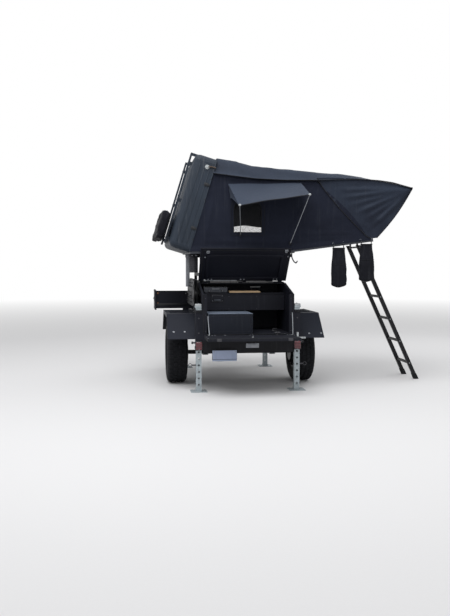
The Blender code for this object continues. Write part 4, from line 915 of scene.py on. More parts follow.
def windowTrim(settings):  # mesh screens, zips and the bound edges of both windows
    work = bmesh.new()
    screens = bmesh.new()
    for side, window in ((-1, settings["window"]), (1, settings["farWindow"])):
        left, right, low, high = window
        corner, out, over = settings["cornerRound"], settings["zipOut"], settings["zipTop"]
        hole = roundedFrame(left, right, low, high, corner)
        zipLine = roundedFrame(left - out, right + out, low - out, high + over, corner + over)
        place = sideWall(settings, side)
        for line, radius in ((hole, 0.0045), (zipLine, 0.003)):
            spots = resample([*line, line[0]], 0.03, False)
            addTube(
                work, [place(spot) + Vector((0, side * settings["proud"], 0)) for spot in spots], radius, 6
            )
        spots, faces = cutPanel(hole, [], 0.05)
        addPanel(
            screens, spots, faces, lambda spot: place(spot) - Vector((0, side * 0.004, 0)), flip=side > 0
        )
    addPiece("windowZips", work, palette("webbing"), "trailer")
    net = addPiece("windowScreens", screens, palette("screen"), "trailer")
    left, right, low, high = settings["farWindow"]


windowTrim(canopyCut)

print("tent: fly and awnings")
flyCut = {
    "top": (
        (-0.345, 2.885), (-0.11, 2.848), (0.10, 2.793), (0.50, 2.762), (0.90, 2.737), (1.50, 2.672),
        (1.88, 2.606), (2.14, 2.528),
    ),
    "nearY": 0.222, "farY": 1.728, "shoulder": 0.17,
    "drop": (
        (-0.345, 0.205), (-0.11, 0.200), (0.10, 0.172), (0.50, 0.155), (0.90, 0.125), (1.25, 0.075),
        (1.70, 0.02), (2.14, 0.0),
    ),
    "wingY": 0.252, "wingFarY": 1.698, "tip": (2.152, 2.522), "foot": (1.690, 1.893), "head": (0.905, 2.640),
    "seamFoot": (1.612, 1.885), "seamStand": 0.022, "seamShares": (0.06, 0.15, 0.3, 0.5, 0.7, 0.85),
    "fanShares": (0.10, 0.24, 0.38, 0.52, 0.66, 0.80),
}
flyFolds = [  # start and end as (x, distance in from the edge), height, half width
    ((-0.30, 0.10), (0.35, 0.035), 0.012, 0.018),
    ((-0.20, 0.22), (0.70, 0.06), 0.010, 0.022),
    ((0.10, 0.12), (0.95, 0.02), -0.008, 0.022),
    ((0.55, 0.30), (1.60, 0.10), 0.008, 0.035),
    ((-0.32, 0.03), (0.10, 0.012), 0.006, 0.012),
    ((0.90, 0.05), (1.95, 0.02), 0.006, 0.018),
]


def flyPiece(settings):
    width = settings["farY"] - settings["nearY"]

    def place(along, across):
        x, z = polyline(settings["top"], along)
        _, drop = polyline(settings["drop"], along)
        edge = min(across, 1 - across) * width
        side = 1 - easeBetween(edge, 0.0, settings["shoulder"])
        z -= drop * side**1.3
        x -= drop * side**1.3 * 0.306 * max(0.0, 1 - along * 6)
        middle = math.sin(math.pi * across)
        z += foldHeight(Vector((x, edge)), flyFolds)
        z += ruffle(x * 1.6, across * 4.0, 1.0, 0.007, 4) * min(middle * 3, 1.0)
        z -= 0.018 * middle * math.sin(math.pi * along * 3) ** 2 * (1 if along > 0.1 else 0)
        return Vector((x, settings["nearY"] + width * across, z))

    work = bmesh.new()
    addGrid(work, 120, 96, place)
    tip, foot, head = Vector(settings["tip"]), Vector(settings["foot"]), Vector(settings["head"])
    seamFoot = Vector(settings["seamFoot"])
    square = Vector((-(head - seamFoot).y, (head - seamFoot).x)).normalized()
    stand = settings["seamStand"]
    seam = []
    for t in settings["seamShares"]:
        seam.append(seamFoot.lerp(head, t) + square * (stand + stand * math.sin(math.pi * t) ** 1.5))
    top = [
        head.lerp(tip, t) + Vector((0, 0.050 * math.sin(math.pi * t) ** 0.8))
        for t in (0.85, 0.65, 0.45, 0.25, 0.1)
    ]
    outer = [foot.lerp(tip, t) + Vector((0.02, -0.02)) * math.sin(math.pi * t) for t in (0.25, 0.5, 0.75)]
    outline = [tuple(p) for p in (seamFoot, foot, *outer, tip, *top, head, *reversed(seam))]
    spots, faces = cutPanel(outline, [], 0.022)
    fan = []
    for number, share in enumerate(settings["fanShares"]):
        target = seamFoot.lerp(head, share)
        rise = 0.016 if number % 2 else 0.024
        fan.append((tuple(tip.lerp(target, 0.06)), tuple(tip.lerp(target, 0.90)), rise, 0.026))
    fan += [((1.30, 2.20), (1.62, 1.98), 0.014, 0.03), ((1.62, 1.98), (1.70, 2.12), -0.010, 0.04)]
    for side, y in ((-1, settings["wingY"]), (1, settings["wingFarY"])):

        def wingPlace(spot):
            point = Vector(spot[:2])
            out = foldHeight(point, fan) + ruffle(point.x * 5, point.y * 5, side * 2.0, 0.005, 3)
            out += 0.03 * math.sin(math.pi * min(max((point.x - 0.95) / 1.15, 0), 1)) * 0.5
            free = min(max(abs((point - seamFoot).dot(square)) / 0.22, 0.0), 1.0)
            return Vector((point.x, y + side * (out * free + 0.001), point.y))

        addPanel(work, spots, faces, wingPlace, flip=side > 0)
    flatArea = round(areaOf(work) * 0.985, 3)
    made = addPiece("tentFly", work, palette("flyCloth"), "trailer", 60.0)
    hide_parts("tent_fly")
    trim = bmesh.new()
    for side, y in ((-1, settings["wingY"]), (1, settings["wingFarY"])):
        for spots, out, radius in (
            ((seamFoot, *seam, head), 0.012, 0.0055), ((foot, *outer, tip), 0.010, 0.005)
        ):
            addTube(trim, smoothPath([(spot.x, y + side * out, spot.y) for spot in spots]), radius, 8)
        addTube(trim, [place(step / 60, 0.0 if side < 0 else 1.0) for step in range(61)], 0.0045, 6)
    addTube(trim, [place(1.0, step / 20) for step in range(21)], 0.009, 8)
    addPiece("flyPiping", trim, palette("webbing"), "trailer")


flyPiece(flyCut)

awningCut = {
    "topLeft": (-0.22, 2.553), "topRight": (0.70, 2.577), "edgeLeft": (-0.146, 2.252),
    "edgeRight": (0.722, 2.390),
    "edgeY": -0.20, "wallY": 0.246, "sag": 0.018, "rodRadius": 0.0045,
    "rodFeet": ((-0.066, 1.925), (0.566, 1.819)),
    "gussetDrop": 0.20, "gussetIn": 0.03, "flat": (1.0, 0.62),
}


def awningPiece(name, settings, side, wallY, edgeY, replaced):
    topLeft, topRight = (Vector((p[0], wallY, p[1])) for p in (settings["topLeft"], settings["topRight"]))
    edgeLeft, edgeRight = (Vector((p[0], edgeY, p[1])) for p in (settings["edgeLeft"], settings["edgeRight"]))

    def place(along, out):
        point = topLeft.lerp(topRight, along).lerp(edgeLeft.lerp(edgeRight, along), out)
        sag = settings["sag"] * math.sin(math.pi * along) * math.sin(math.pi * min(out, 0.97))
        pull = 0.010 * math.sin(math.pi * along) * out**3
        ripple = 0.004 * math.sin(9.0 * along + 5.0 * out) * math.sin(math.pi * along)
        return point + Vector((0, 0, -sag + pull + ripple))

    work = bmesh.new()
    addGrid(work, 44, 24, place, flip=side > 0)
    for along in (0.0, 1.0):
        wallTop = place(along, 0.0)
        outer = place(along, 1.0)
        inward = settings["gussetIn"] if along == 0 else -settings["gussetIn"]
        low = Vector((wallTop.x + inward, wallY, wallTop.z - settings["gussetDrop"]))

        def gusset(down, out):
            start = wallTop.lerp(low, down)
            reach = wallTop.lerp(outer, out)
            fold = 0.012 * math.sin(math.pi * down) * math.sin(math.pi * out)
            return reach.lerp(start, down * (1 - out) if out < 1 else 0.0) + Vector(
                (fold, 0, -0.06 * down * out * (1 - out))
            )

        addGrid(work, 10, 10, gusset, flip=(along == 0) == (side < 0))
    made = addPiece(name, work, palette("skyLitAwningCloth"), "trailer", 60.0)
    if replaced:
        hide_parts(replaced)
    rods = bmesh.new()
    for along, foot in ((0.012, settings["rodFeet"][0]), (0.988, settings["rodFeet"][1])):
        outer = place(along, 0.985)
        base = Vector((foot[0], wallY + side * 0.008, foot[1]))
        addTube(
            rods, [base, base.lerp(outer, 0.5) + Vector((0, side * 0.01, 0)), outer], settings["rodRadius"],
            10, 0,
        )
        addBall(rods, outer + Vector((0, side * 0.006, 0.002)), 0.017, 1, (1, 1, 0.8))
        addBlock(rods, base, (0.028, 0.012, 0.04), 2)
    addTube(rods, [place(step / 40, 1.0) for step in range(41)], 0.006, 8, 2)
    addPiece(name + "Rods", rods, palette("zinc", "whitePlastic", "webbing"), "trailer")


wallY, edgeY = awningCut["wallY"], awningCut["edgeY"]
bothWalls = canopyCut["nearY"] + canopyCut["farY"]
awningPiece("nearAwning", awningCut, -1, wallY, edgeY, "window_awning")
awningPiece("farAwning", awningCut, 1, bothWalls - wallY, bothWalls - edgeY, None)

print("wheels: tyres and rims")
treadRows = [  # from the middle outwards: distance, radius, how deep the grooves cut it, shift in pitches
    (0.0, 0.384, 0.0, 0.25), (0.007, 0.384, 0.0, 0.0), (0.009, 0.395, 0.011, 0.0),
    (0.047, 0.3945, 0.011, 0.0),
    (0.049, 0.384, 0.0, 0.0), (0.059, 0.384, 0.0, 0.5), (0.061, 0.394, 0.011, 0.5),
    (0.100, 0.391, 0.011, 0.5),
    (0.117, 0.373, 0.009, 0.5), (0.1265, 0.351, 0.005, 0.5), (0.1285, 0.341, 0.0, 0.5),
    (0.1325, 0.316, 0.0, 0.5),
    (0.1325, 0.292, 0.0, 0.5), (0.1300, 0.276, 0.0, 0.5), (0.1318, 0.272, 0.0, 0.5),
    (0.1318, 0.262, 0.0, 0.5),
    (0.1285, 0.256, 0.0, 0.5), (0.1200, 0.230, 0.0, 0.5), (0.1080, 0.215, 0.0, 0.5),
    (0.1000, 0.203, 0.0, 0.5),
]
wheelCut = {
    "pitches": 36,
    "lug": ((0.0, 1.0), (0.04, 0.0), (0.34, 0.0), (0.355, 0.6), (0.37, 0.0), (0.66, 0.0), (0.70, 1.0)),
    "barrel": (
        (0.216, 0.110), (0.216, 0.102), (0.206, 0.100), (0.202, 0.090), (0.198, 0.070), (0.190, 0.050),
        (0.190, -0.050),
        (0.198, -0.070), (0.202, -0.090), (0.206, -0.100), (0.216, -0.102), (0.216, -0.110), (0.209, -0.110),
        (0.199, -0.100), (0.192, -0.070), (0.185, -0.050), (0.185, 0.050), (0.192, 0.070), (0.199, 0.100),
        (0.209, 0.110),
    ),
    "discRadius": 0.187, "hubHole": 0.040, "windows": 8, "windowRadius": 0.021, "windowPlace": 0.148,
    "nuts": 6, "nutPlace": 0.072, "sheet": 0.005, "nibs": 24, "nibPlace": (0.131, 0.300),
    "nib": (0.0044, 0.008, 0.024),
    "disc": (0.040, 0.016, -0.034), "discBends": ((0.085, 0.115), (0.150, 0.186)),
    "cap": (
        (0.038, 0.0), (0.038, 0.036), (0.035, 0.042), (0.031, 0.043), (0.029, 0.052), (0.020, 0.056),
        (0.004, 0.057),
    ),
}


def addLoft(work, rings, look=0, wrap=False, caps=False):  # skin over closed rings with as many points each
    skins = [[work.verts.new(point) for point in ring] for ring in rings]
    following = [*skins[1:], skins[0]] if wrap else skins[1:]
    for ring, after in zip(skins, following):
        count = len(ring)
        for step in range(count):
            turn = (step + 1) % count
            work.faces.new((ring[step], ring[turn], after[turn], after[step])).material_index = look
    if caps:
        work.faces.new(list(reversed(skins[0]))).material_index = look
        work.faces.new(skins[-1]).material_index = look


def circle(centre, radius, steps, start=0.0):
    angles = [math.tau * (step + start) / steps for step in range(steps)]
    return [(centre[0] + radius * math.cos(a), centre[1] + radius * math.sin(a)) for a in angles]


def tyrePiece(name, settings):
    low, high = boxOf("tyre_" + name)
    centre = (low + high) / 2
    rows = [(-x, r, cut, (shift + 0.5) % 1) for x, r, cut, shift in reversed(treadRows[1:])] + treadRows
    rings = []
    for x, radius, depth, shift in rows:
        ring = []
        for pitch in range(settings["pitches"]):
            for share, groove in settings["lug"]:
                angle = math.tau * (pitch + share + shift) / settings["pitches"]
                reach = radius - depth * groove
                ring.append(centre + Vector((x, reach * math.cos(angle), reach * math.sin(angle))))
        rings.append(ring)
    work = bmesh.new()
    addLoft(work, rings, wrap=True)
    bmesh.ops.recalc_face_normals(work, faces=work.faces)
    out, reach = settings["nibPlace"]
    half = Vector(settings["nib"]) / 2
    for index in range(settings["nibs"]):  # rubber nibs on the shoulder
        angle = math.tau * (index + 0.5) / settings["nibs"]
        turn = Matrix.Rotation(-angle + math.pi / 2, 4, "X")
        for side in (-1, 1):
            spot = centre + Vector((side * out, reach * math.cos(angle), reach * math.sin(angle)))
            addBox(work, spot - half, spot + half, 0, turn)
    made = addPiece("tyre" + name.title(), work, palette("rubber"), "wheel_" + name, 30.0)
    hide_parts("tyre_" + name)


def rimPiece(name, settings):
    low, high = boxOf("rim_" + name)
    centre = (low + high) / 2
    side = -1 if name == "left" else 1
    work = bmesh.new()

    def hoops(profile, start, steps):
        return [[start + Vector((side * x, *spot)) for spot in circle((0, 0), r, steps)] for r, x in profile]

    def dish(spot):
        flat, rise, fall = settings["disc"]
        inner, outer = (easeBetween(Vector(spot).length, *bend) for bend in settings["discBends"])
        return centre + Vector((side * (flat + rise * inner + fall * outer), spot[0], spot[1]))

    addLoft(work, hoops(settings["barrel"], centre, 72), wrap=True)
    windows = circle((0, 0), settings["windowPlace"], settings["windows"])
    holes = [circle(place, settings["windowRadius"], 20) for place in windows]
    holes.append(circle((0, 0), settings["hubHole"], 32))
    spots, faces = cutPanel(circle((0, 0), settings["discRadius"], 72), holes, 0.011)
    addPlate(work, spots, faces, dish, settings["sheet"], flip=side < 0)
    bmesh.ops.recalc_face_normals(work, faces=work.faces)
    for place in circle((0, 0), settings["nutPlace"], settings["nuts"], 0.5):
        spot = centre + Vector((side * 0.039, *place))
        addRod(work, spot, spot + Vector((side * 0.003, 0, 0)), 0.016, 20, 1)
        addRod(work, spot, spot + Vector((side * 0.019, 0, 0)), 0.0115, 6, 1)
        addRod(
            work, spot + Vector((side * 0.018, 0, 0)), spot + Vector((side * 0.026, 0, 0)), 0.0095, 12, 1,
            0.003,
        )
    addLoft(work, hoops(settings["cap"], centre + Vector((side * 0.02, 0, 0)), 32), 2, caps=True)
    valve = centre + Vector((side * 0.060, 0.0, 0.176))
    addRod(work, valve, valve + Vector((side * 0.034, 0, -0.006)), 0.0045, 10, 2, 0.003)
    bmesh.ops.recalc_face_normals(work, faces=work.faces)
    finishes = palette("rim_black", "zinc", "blackPlastic")
    made = addPiece("rim" + name.title(), work, finishes, "wheel_" + name, 32.0)
    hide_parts("rim_" + name)


for side in ("left", "right"):
    tyrePiece(side, wheelCut)
    rimPiece(side, wheelCut)

print("stores: gear bag, shoe bags and recovery boards")
coverPlace = {
    "hinge": (-0.70, 1.705), "angle": math.radians(73), "depth": 0.28, "length": 1.20, "nearY": 0.25,
    "farY": 1.70,
}


def onCover(along, y, out):  # along the raised cover from its hinge, and outwards from its rim plane
    c, s = math.cos(coverPlace["angle"]), math.sin(coverPlace["angle"])
    x, z = coverPlace["hinge"]
    return Vector((x + along * c - out * s, y, z + along * s + out * c))


gearBagCut = {
    "along": (0.052, 0.448), "out": (0.337, 0.484), "y": (0.352, 1.598), "sections": 84, "around": 72,
    "soft": 0.46,
    "straps": (0.62, 0.975, 1.33), "strapWidth": 0.038, "fill": 0.5,
}


def gearBagPiece(settings):
    middle = [sum(settings[key]) / 2 for key in ("along", "out")]
    half = [(settings[key][1] - settings[key][0]) / 2 for key in ("along", "out")]
    start, end = settings["y"]

    def section(y, angle, proud=0.0):
        edge = min(y - start, end - y)
        size = 1 - 0.42 * (1 - easeBetween(edge, -0.02, 0.075)) ** 1.6
        pinch = sum(math.exp(-(((y - strap) / 0.035) ** 2)) for strap in settings["straps"])
        sag = 0.5 - 0.5 * math.cos(angle)  # 1 on the side that hangs lowest
        across, deep = softCircle(angle, settings["soft"])
        lump = noise.fractal(Vector((y * 3.4, across * 1.4, deep * 1.6 + 4)), 0.6, 2.1, 4) * 0.016
        crease = 0.004 * math.sin(angle * 5 + y * 46) * math.exp(-((edge / 0.16) ** 2))
        crease += 0.005 * math.sin(angle * 7 + y * 9) * pinch
        width = half[0] * (0.90 + 0.08 * sag) * size * (1 - 0.035 * pinch)
        depth = half[1] * (0.80 + 0.14 * sag) * size * (1 - 0.10 * pinch)
        out = max(middle[1] + (depth - 0.006 + lump + crease + proud) * deep, settings["out"][0])
        return onCover(middle[0] + (width - 0.006 + lump + crease + proud) * across - 0.004, y, out)

    angles = [math.tau * step / settings["around"] for step in range(settings["around"])]
    count = settings["sections"]
    rings = [[section(start + (end - start) * step / count, a) for a in angles] for step in range(count + 1)]
    ends = []
    for ring in (rings[0], rings[-1]):
        centre = sum(ring, Vector()) / len(ring)
        ends.append([point.lerp(centre, 0.5) for point in ring])
    work = bmesh.new()
    addLoft(work, [ends[0], *rings, ends[1]], caps=True)
    bmesh.ops.recalc_face_normals(work, faces=work.faces)
    made = addPiece("gearBag", work, palette("bagCloth"), "trailer", 70.0)
    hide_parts("gear_bag")
    straps = bmesh.new()
    turn = Matrix.Rotation(-coverPlace["angle"], 4, "Y")
    for strap in settings["straps"]:
        edges = [strap + settings["strapWidth"] * share for share in (-0.5, -0.25, 0.0, 0.25, 0.5)]
        addLoft(straps, [[section(y, a, 0.0035) for a in angles] for y in edges])
        buckle = section(strap, math.radians(80), 0.008)
        reach = Vector((0.028, 0.026, 0.006))
        addBox(straps, buckle - reach, buckle + reach, 1, turn, 0.003)
    zipLine = [
        section(start + 0.02 + (end - start - 0.04) * step / 60, math.radians(38), 0.003)
        for step in range(61)
    ]
    addTube(straps, zipLine, 0.0045, 6)
    for y in (start + 0.015, end - 0.015):
        addTube(straps, [section(y, a, 0.003) for a in [*angles, angles[0]]], 0.004, 6)
    addPiece("gearBagStraps", straps, palette("webbing", "blackPlastic"), "trailer")


gearBagPiece(gearBagCut)

shoeBagCut = {
    "rings": 46, "around": 48, "mouth": 0.030, "soft": 0.55, "fill": 0.35, "frontY": 0.152, "backY": 0.2475
}


def shoeBagPiece(name, node, phase, settings):
    low, high = boxOf(node)
    middleX, middleY = (low.x + high.x) / 2, (settings["frontY"] + settings["backY"]) / 2
    halfX, halfY = (high.x - low.x) / 2, (settings["backY"] - settings["frontY"]) / 2
    top = low.z + (high.z - low.z) * 0.90

    def section(share, angle, proud=0.0):
        full = easeBetween(share, 0.0, 0.6)
        bottom = max(1 - max((share - 0.93) / 0.07, 0.0) ** 3, 0.0)
        width = halfX * (0.80 + 0.18 * full) * (0.55 + 0.45 * bottom)
        depth = (settings["mouth"] / 2 + (halfY - settings["mouth"] / 2) * full) * (0.3 + 0.7 * bottom) * 0.94
        across, deep = softCircle(angle, settings["soft"])
        fold = ruffle(across * 2.6, share * 5 + phase, deep, 0.010, 4) * (0.4 + full)
        pleat = 0.006 * math.sin(across * 11 + phase) * (1 - full)
        sag = 0.012 * share * math.cos(across * math.pi / 2)
        y = middleY + (halfY - depth) * 0.6 + deep * (depth - 0.004) - abs(fold) * 0.5 + pleat
        x = middleX + across * (width - 0.006 + proud) + fold * 0.4
        return Vector((x, min(y - proud, settings["backY"]), top - (top - low.z - 0.014) * share - sag))

    angles = [math.tau * step / settings["around"] for step in range(settings["around"])]
    work = bmesh.new()
    rings = [[section(step / settings["rings"], a) for a in angles] for step in range(settings["rings"] + 1)]
    inside = [point + Vector((0, 0, -0.02)) for point in rings[1]]
    addLoft(work, [inside, *rings], caps=True)
    bmesh.ops.recalc_face_normals(work, faces=work.faces)
    made = addPiece(name, work, palette("bagCloth"), "trailer", 70.0)
    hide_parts(node)
    trim = bmesh.new()
    addTube(trim, [section(0.0, a, 0.002) for a in [*angles, angles[0]]], 0.0045, 8)
    addTube(trim, [section(0.42, a, 0.002) for a in angles[len(angles) // 2:]], 0.003, 6)
    for across in (-0.62, 0.62):
        x = middleX + across * halfX
        edge = high.z + (x - low.x) * math.tan(math.radians(7.5)) - 0.004
        loop = ((x, middleY + 0.03, top - 0.01), (x, middleY + 0.02, top + 0.02), (x, 0.243, edge - 0.018))
        addTube(trim, smoothPath(loop), 0.006, 8)
        addTube(trim, ringPath((x, 0.244, edge - 0.008), (0.015, 0, 0), (0, 0, 0.015), 20), 0.0028, 8, 1)
    addPiece(name + "Trim", trim, palette("webbing", "zinc"), "trailer")


shoeBagPiece("shoeBagInner", "shoe_bag_inner", 0.0, shoeBagCut)
shoeBagPiece("shoeBagOuter", "shoe_bag_outer", 2.7, shoeBagCut)

boardCut = {
    "corner": 0.045, "thickness": 0.030, "spacing": 0.030, "studColumns": 26, "studRows": 6,
    "studHeight": 0.007,
}


def slot(left, right, low, high, steps=6):  # outline with half-round ends
    radius = min(right - left, high - low) / 2
    points = []
    for cx, cy, start in ((right, high, 0), (left, high, 1), (left, low, 2), (right, low, 3)):
        centre = (
            cx - radius if start in (0, 3) else cx + radius, cy - radius if start in (0, 1) else cy + radius
        )
        for step in range(steps):
            a = math.pi / 2 * (start + step / (steps - 1))
            points.append((centre[0] + radius * math.cos(a), centre[1] + radius * math.sin(a)))
    kept = [points[0]]
    for point in points[1:]:
        if (Vector(point) - Vector(kept[-1])).length > 1e-5:
            kept.append(point)
    return kept if (Vector(kept[0]) - Vector(kept[-1])).length > 1e-5 else kept[:-1]


def roundedPlate(left, right, low, high, corner, steps=5):
    points = []
    left, right, low, high = left + corner, right - corner, low + corner, high - corner
    for quarter, (cx, cy) in enumerate(((right, high), (left, high), (left, low), (right, low))):
        for step in range(steps + 1):
            a = math.pi / 2 * (quarter + step / steps)
            points.append((cx + corner * math.cos(a), cy + corner * math.sin(a)))
    return points


def boardsPiece(settings):
    low, high = boxOf("recovery_boards")
    near, far, bottom, top = low.y, high.y, low.z, high.z
    middle = (bottom + top) / 2
    outline = roundedPlate(near, far, bottom, top, settings["corner"])
    holes = []
    for end in (near + 0.035, far - 0.075):
        for height in (middle - 0.115, middle + 0.035):
            holes.append(slot(end, end + 0.04, height, height + 0.08))
    for along in (near + 0.17, near + 0.34, near + 0.51, near + 0.68, near + 0.85):
        holes.append(slot(along, along + 0.09, middle - 0.014, middle + 0.014))
    spots, faces = cutPanel(outline, holes, settings["spacing"])
    work = bmesh.new()
    for face in (low.x, low.x + settings["thickness"] + 0.008):

        def place(spot):
            edge = min(spot[0] - near, far - spot[0])
            return Vector((face + 0.012 * (1 - easeBetween(edge, 0.0, 0.22)), spot[0], spot[1]))

        addPlate(work, spots, faces, place, settings["thickness"] - 0.012, flip=True)
    bmesh.ops.recalc_face_normals(work, faces=work.faces)
    for edge in (bottom + 0.009, top - 0.009):  # rolled long edges of both boards
        for face in (low.x + 0.012, low.x + settings["thickness"] + 0.020):
            addTube(work, [(face, near + 0.06, edge), (face, far - 0.06, edge)], 0.009, 10)
    for column in range(settings["studColumns"]):
        along = near + 0.15 + (far - near - 0.30) * column / (settings["studColumns"] - 1)
        for row in range(settings["studRows"]):
            height = bottom + 0.045 + (top - bottom - 0.09) * row / (settings["studRows"] - 1)
            if abs(height - middle) > 0.03:
                addRod(
                    work, (low.x + 0.001, along, height), (low.x - settings["studHeight"], along, height),
                    0.0085, 6, 0, 0.005,
                )
    for along in (near + 0.25, far - 0.25):
        height = middle - 0.04
        addRod(work, (high.x - 0.01, along, height), (-0.5703, along, height), 0.012, 16, 1)
        addRod(work, (low.x - 0.004, along, height), (low.x + 0.006, along, height), 0.028, 20, 1)
        addRod(work, (low.x - 0.018, along, height), (low.x - 0.002, along, height), 0.010, 12, 1)
        addBox(
            work, (low.x - 0.030, along - 0.034, height - 0.009),
            (low.x - 0.016, along + 0.034, height + 0.009), 1, None, 0.004,
        )
    made = addPiece(
        "recoveryBoards", work, palette("boardPlastic", "blackPlastic"), "trailer", 34.0
    )
    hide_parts("recovery_boards")


boardsPiece(boardCut)

print("legs: punched tubes, caps and pins")
legCut = {
    "half": 0.0332, "wall": 0.004, "holes": (0.085, 0.165, 0.245, 0.325, 0.405, 0.485), "holeRadius": 0.0125,
    "pad": 0.10, "padThickness": 0.008, "padBolts": 0.075, "gussetHeight": 0.018,
    "gusset": (0.006, 0.10, 0.024),
    "capReach": (-0.034, 0.0445), "pinHole": 3, "pinReach": (-0.035, 0.085), "pinRadius": 0.008,
    "ringPlace": 0.105, "ringRadius": 0.02,
}


def legPiece(end, side, settings):
    name = "leg_" + end + "_" + side
    low, high = boxOf(name)
    centre = (low + high) / 2
    x, y, top, half = centre.x, centre.y, high.z, settings["half"]
    outline = [(-half, 0.006), (half, 0.006), (half, top), (-half, top)]
    spots, faces = cutPanel(
        outline, [circle((0, z), settings["holeRadius"], 18) for z in settings["holes"]], 0.03
    )
    work = bmesh.new()
    for quarter in range(4):
        turn = Matrix.Rotation(math.pi / 2 * quarter, 3, "Z")
        addPanel(
            work, spots, faces, lambda spot: Vector((x, y, 0)) + turn @ Vector((spot[0], -half, spot[1]))
        )
    bmesh.ops.remove_doubles(work, verts=work.verts, dist=0.00001)
    bmesh.ops.recalc_face_normals(work, faces=work.faces)
    bmesh.ops.solidify(work, geom=work.faces[:], thickness=settings["wall"])
    pad, thickness, spread = settings["pad"], settings["padThickness"], settings["padBolts"]
    addBox(work, (x - pad, y - pad, 0.0), (x + pad, y + pad, thickness), 0, None, 0.002)
    for dx in (-1, 1):
        addBlock(work, (x + dx * half, y, settings["gussetHeight"]), settings["gusset"])
        for dy in (-1, 1):
            addBolt(work, (x + dx * spread, y + dy * spread, thickness), (0, 0, 1), 0.006, 1)
    out = -1 if side == "left" else 1
    left, right = sorted(x + out * reach for reach in settings["capReach"])
    addBox(work, (left, y - 0.042, top - 0.006), (right, y + 0.042, top + 0.012), 0, None, 0.003)
    addBox(
        work, (left + 0.002, y - 0.036, top + 0.012), (right - 0.002, y + 0.036, top + 0.040), 2, None, 0.004
    )
    addBolt(work, (x, y, top + 0.040), (0, 0, 1), 0.009, 1)
    pin, ring = settings["holes"][settings["pinHole"]], settings["ringRadius"]
    start, tip = (Vector((x + out * reach, y, pin)) for reach in settings["pinReach"])
    addRod(work, start, tip, settings["pinRadius"], 14, 3)
    addTube(
        work, ringPath((x + out * settings["ringPlace"], y, pin), (-out * ring, 0, 0), (0, 0, ring)), 0.003,
        8, 3,
    )
    finishes = palette("galvanised", "zinc", "whitePlastic", "dark_steel")
    made = addPiece("leg" + end.title() + side.title(), work, finishes, name, 32.0)
    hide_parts(name)


for end in ("rear", "front"):
    for side in ("left", "right"):
        legPiece(end, side, legCut)

collarCut = {
    "rows": (0.045, 2.305), "legX": 0.61, "tubeHalf": 0.04, "tubWall": 0.575, "levels": (0.52, 0.965),
    "height": 0.035, "proud": 0.005, "knobHeight": 0.60, "boltHeights": (0.72, 0.90),
}


def legCollars(settings):  # collars, spring knobs and bolts on the fixed outer tubes
    work = bmesh.new()
    half = settings["tubeHalf"]
    reach = half + settings["proud"]
    for side in (-1, 1):
        x = side * settings["legX"]
        left, right = sorted((side * settings["tubWall"], x + side * reach))
        for y in settings["rows"]:
            for z in settings["levels"]:
                addBox(work, (left, y - reach, z), (right, y + reach, z + settings["height"]), 0, None, 0.002)
            knob = Vector((x + side * half, y, settings["knobHeight"]))
            neck, grip = (knob + Vector((side * length, 0, 0)) for length in (0.030, 0.048))
            addRod(work, knob, neck, 0.011, 16, 1)
            addRod(work, neck, grip, 0.017, 18, 2, 0.014)
            for z in settings["boltHeights"]:
                addBolt(work, (x, y - half, z), (0, -1, 0), 0.006, 1)
    finishes = palette("chassis_black", "dark_steel", "blackPlastic")
    addPiece("legCollars", work, finishes, "trailer")


legCollars(collarCut)

print("cover: ribs, fittings and straps")
coverCut = {
    "ribHeight": 0.0045, "ribWidth": 0.014, "ribEnd": 0.09, "sideRibs": (0.065, 0.130, 0.195),
    "backRibs": (0.36, 0.62, 0.80, 1.10, 1.28, 1.57), "rim": (0.0, 0.016),
    "rimBolts": (0.16, 0.42, 0.68, 0.94),
    "catches": (0.30, 0.86), "carrierRows": (0.47, 1.43), "carrierBolts": (0.10, 0.60, 1.08),
    "carrierOut": 0.335,
    "knobAlong": 1.070, "knobOut": 0.098, "strapEnd": (-0.375, 0.236, 2.745),
}


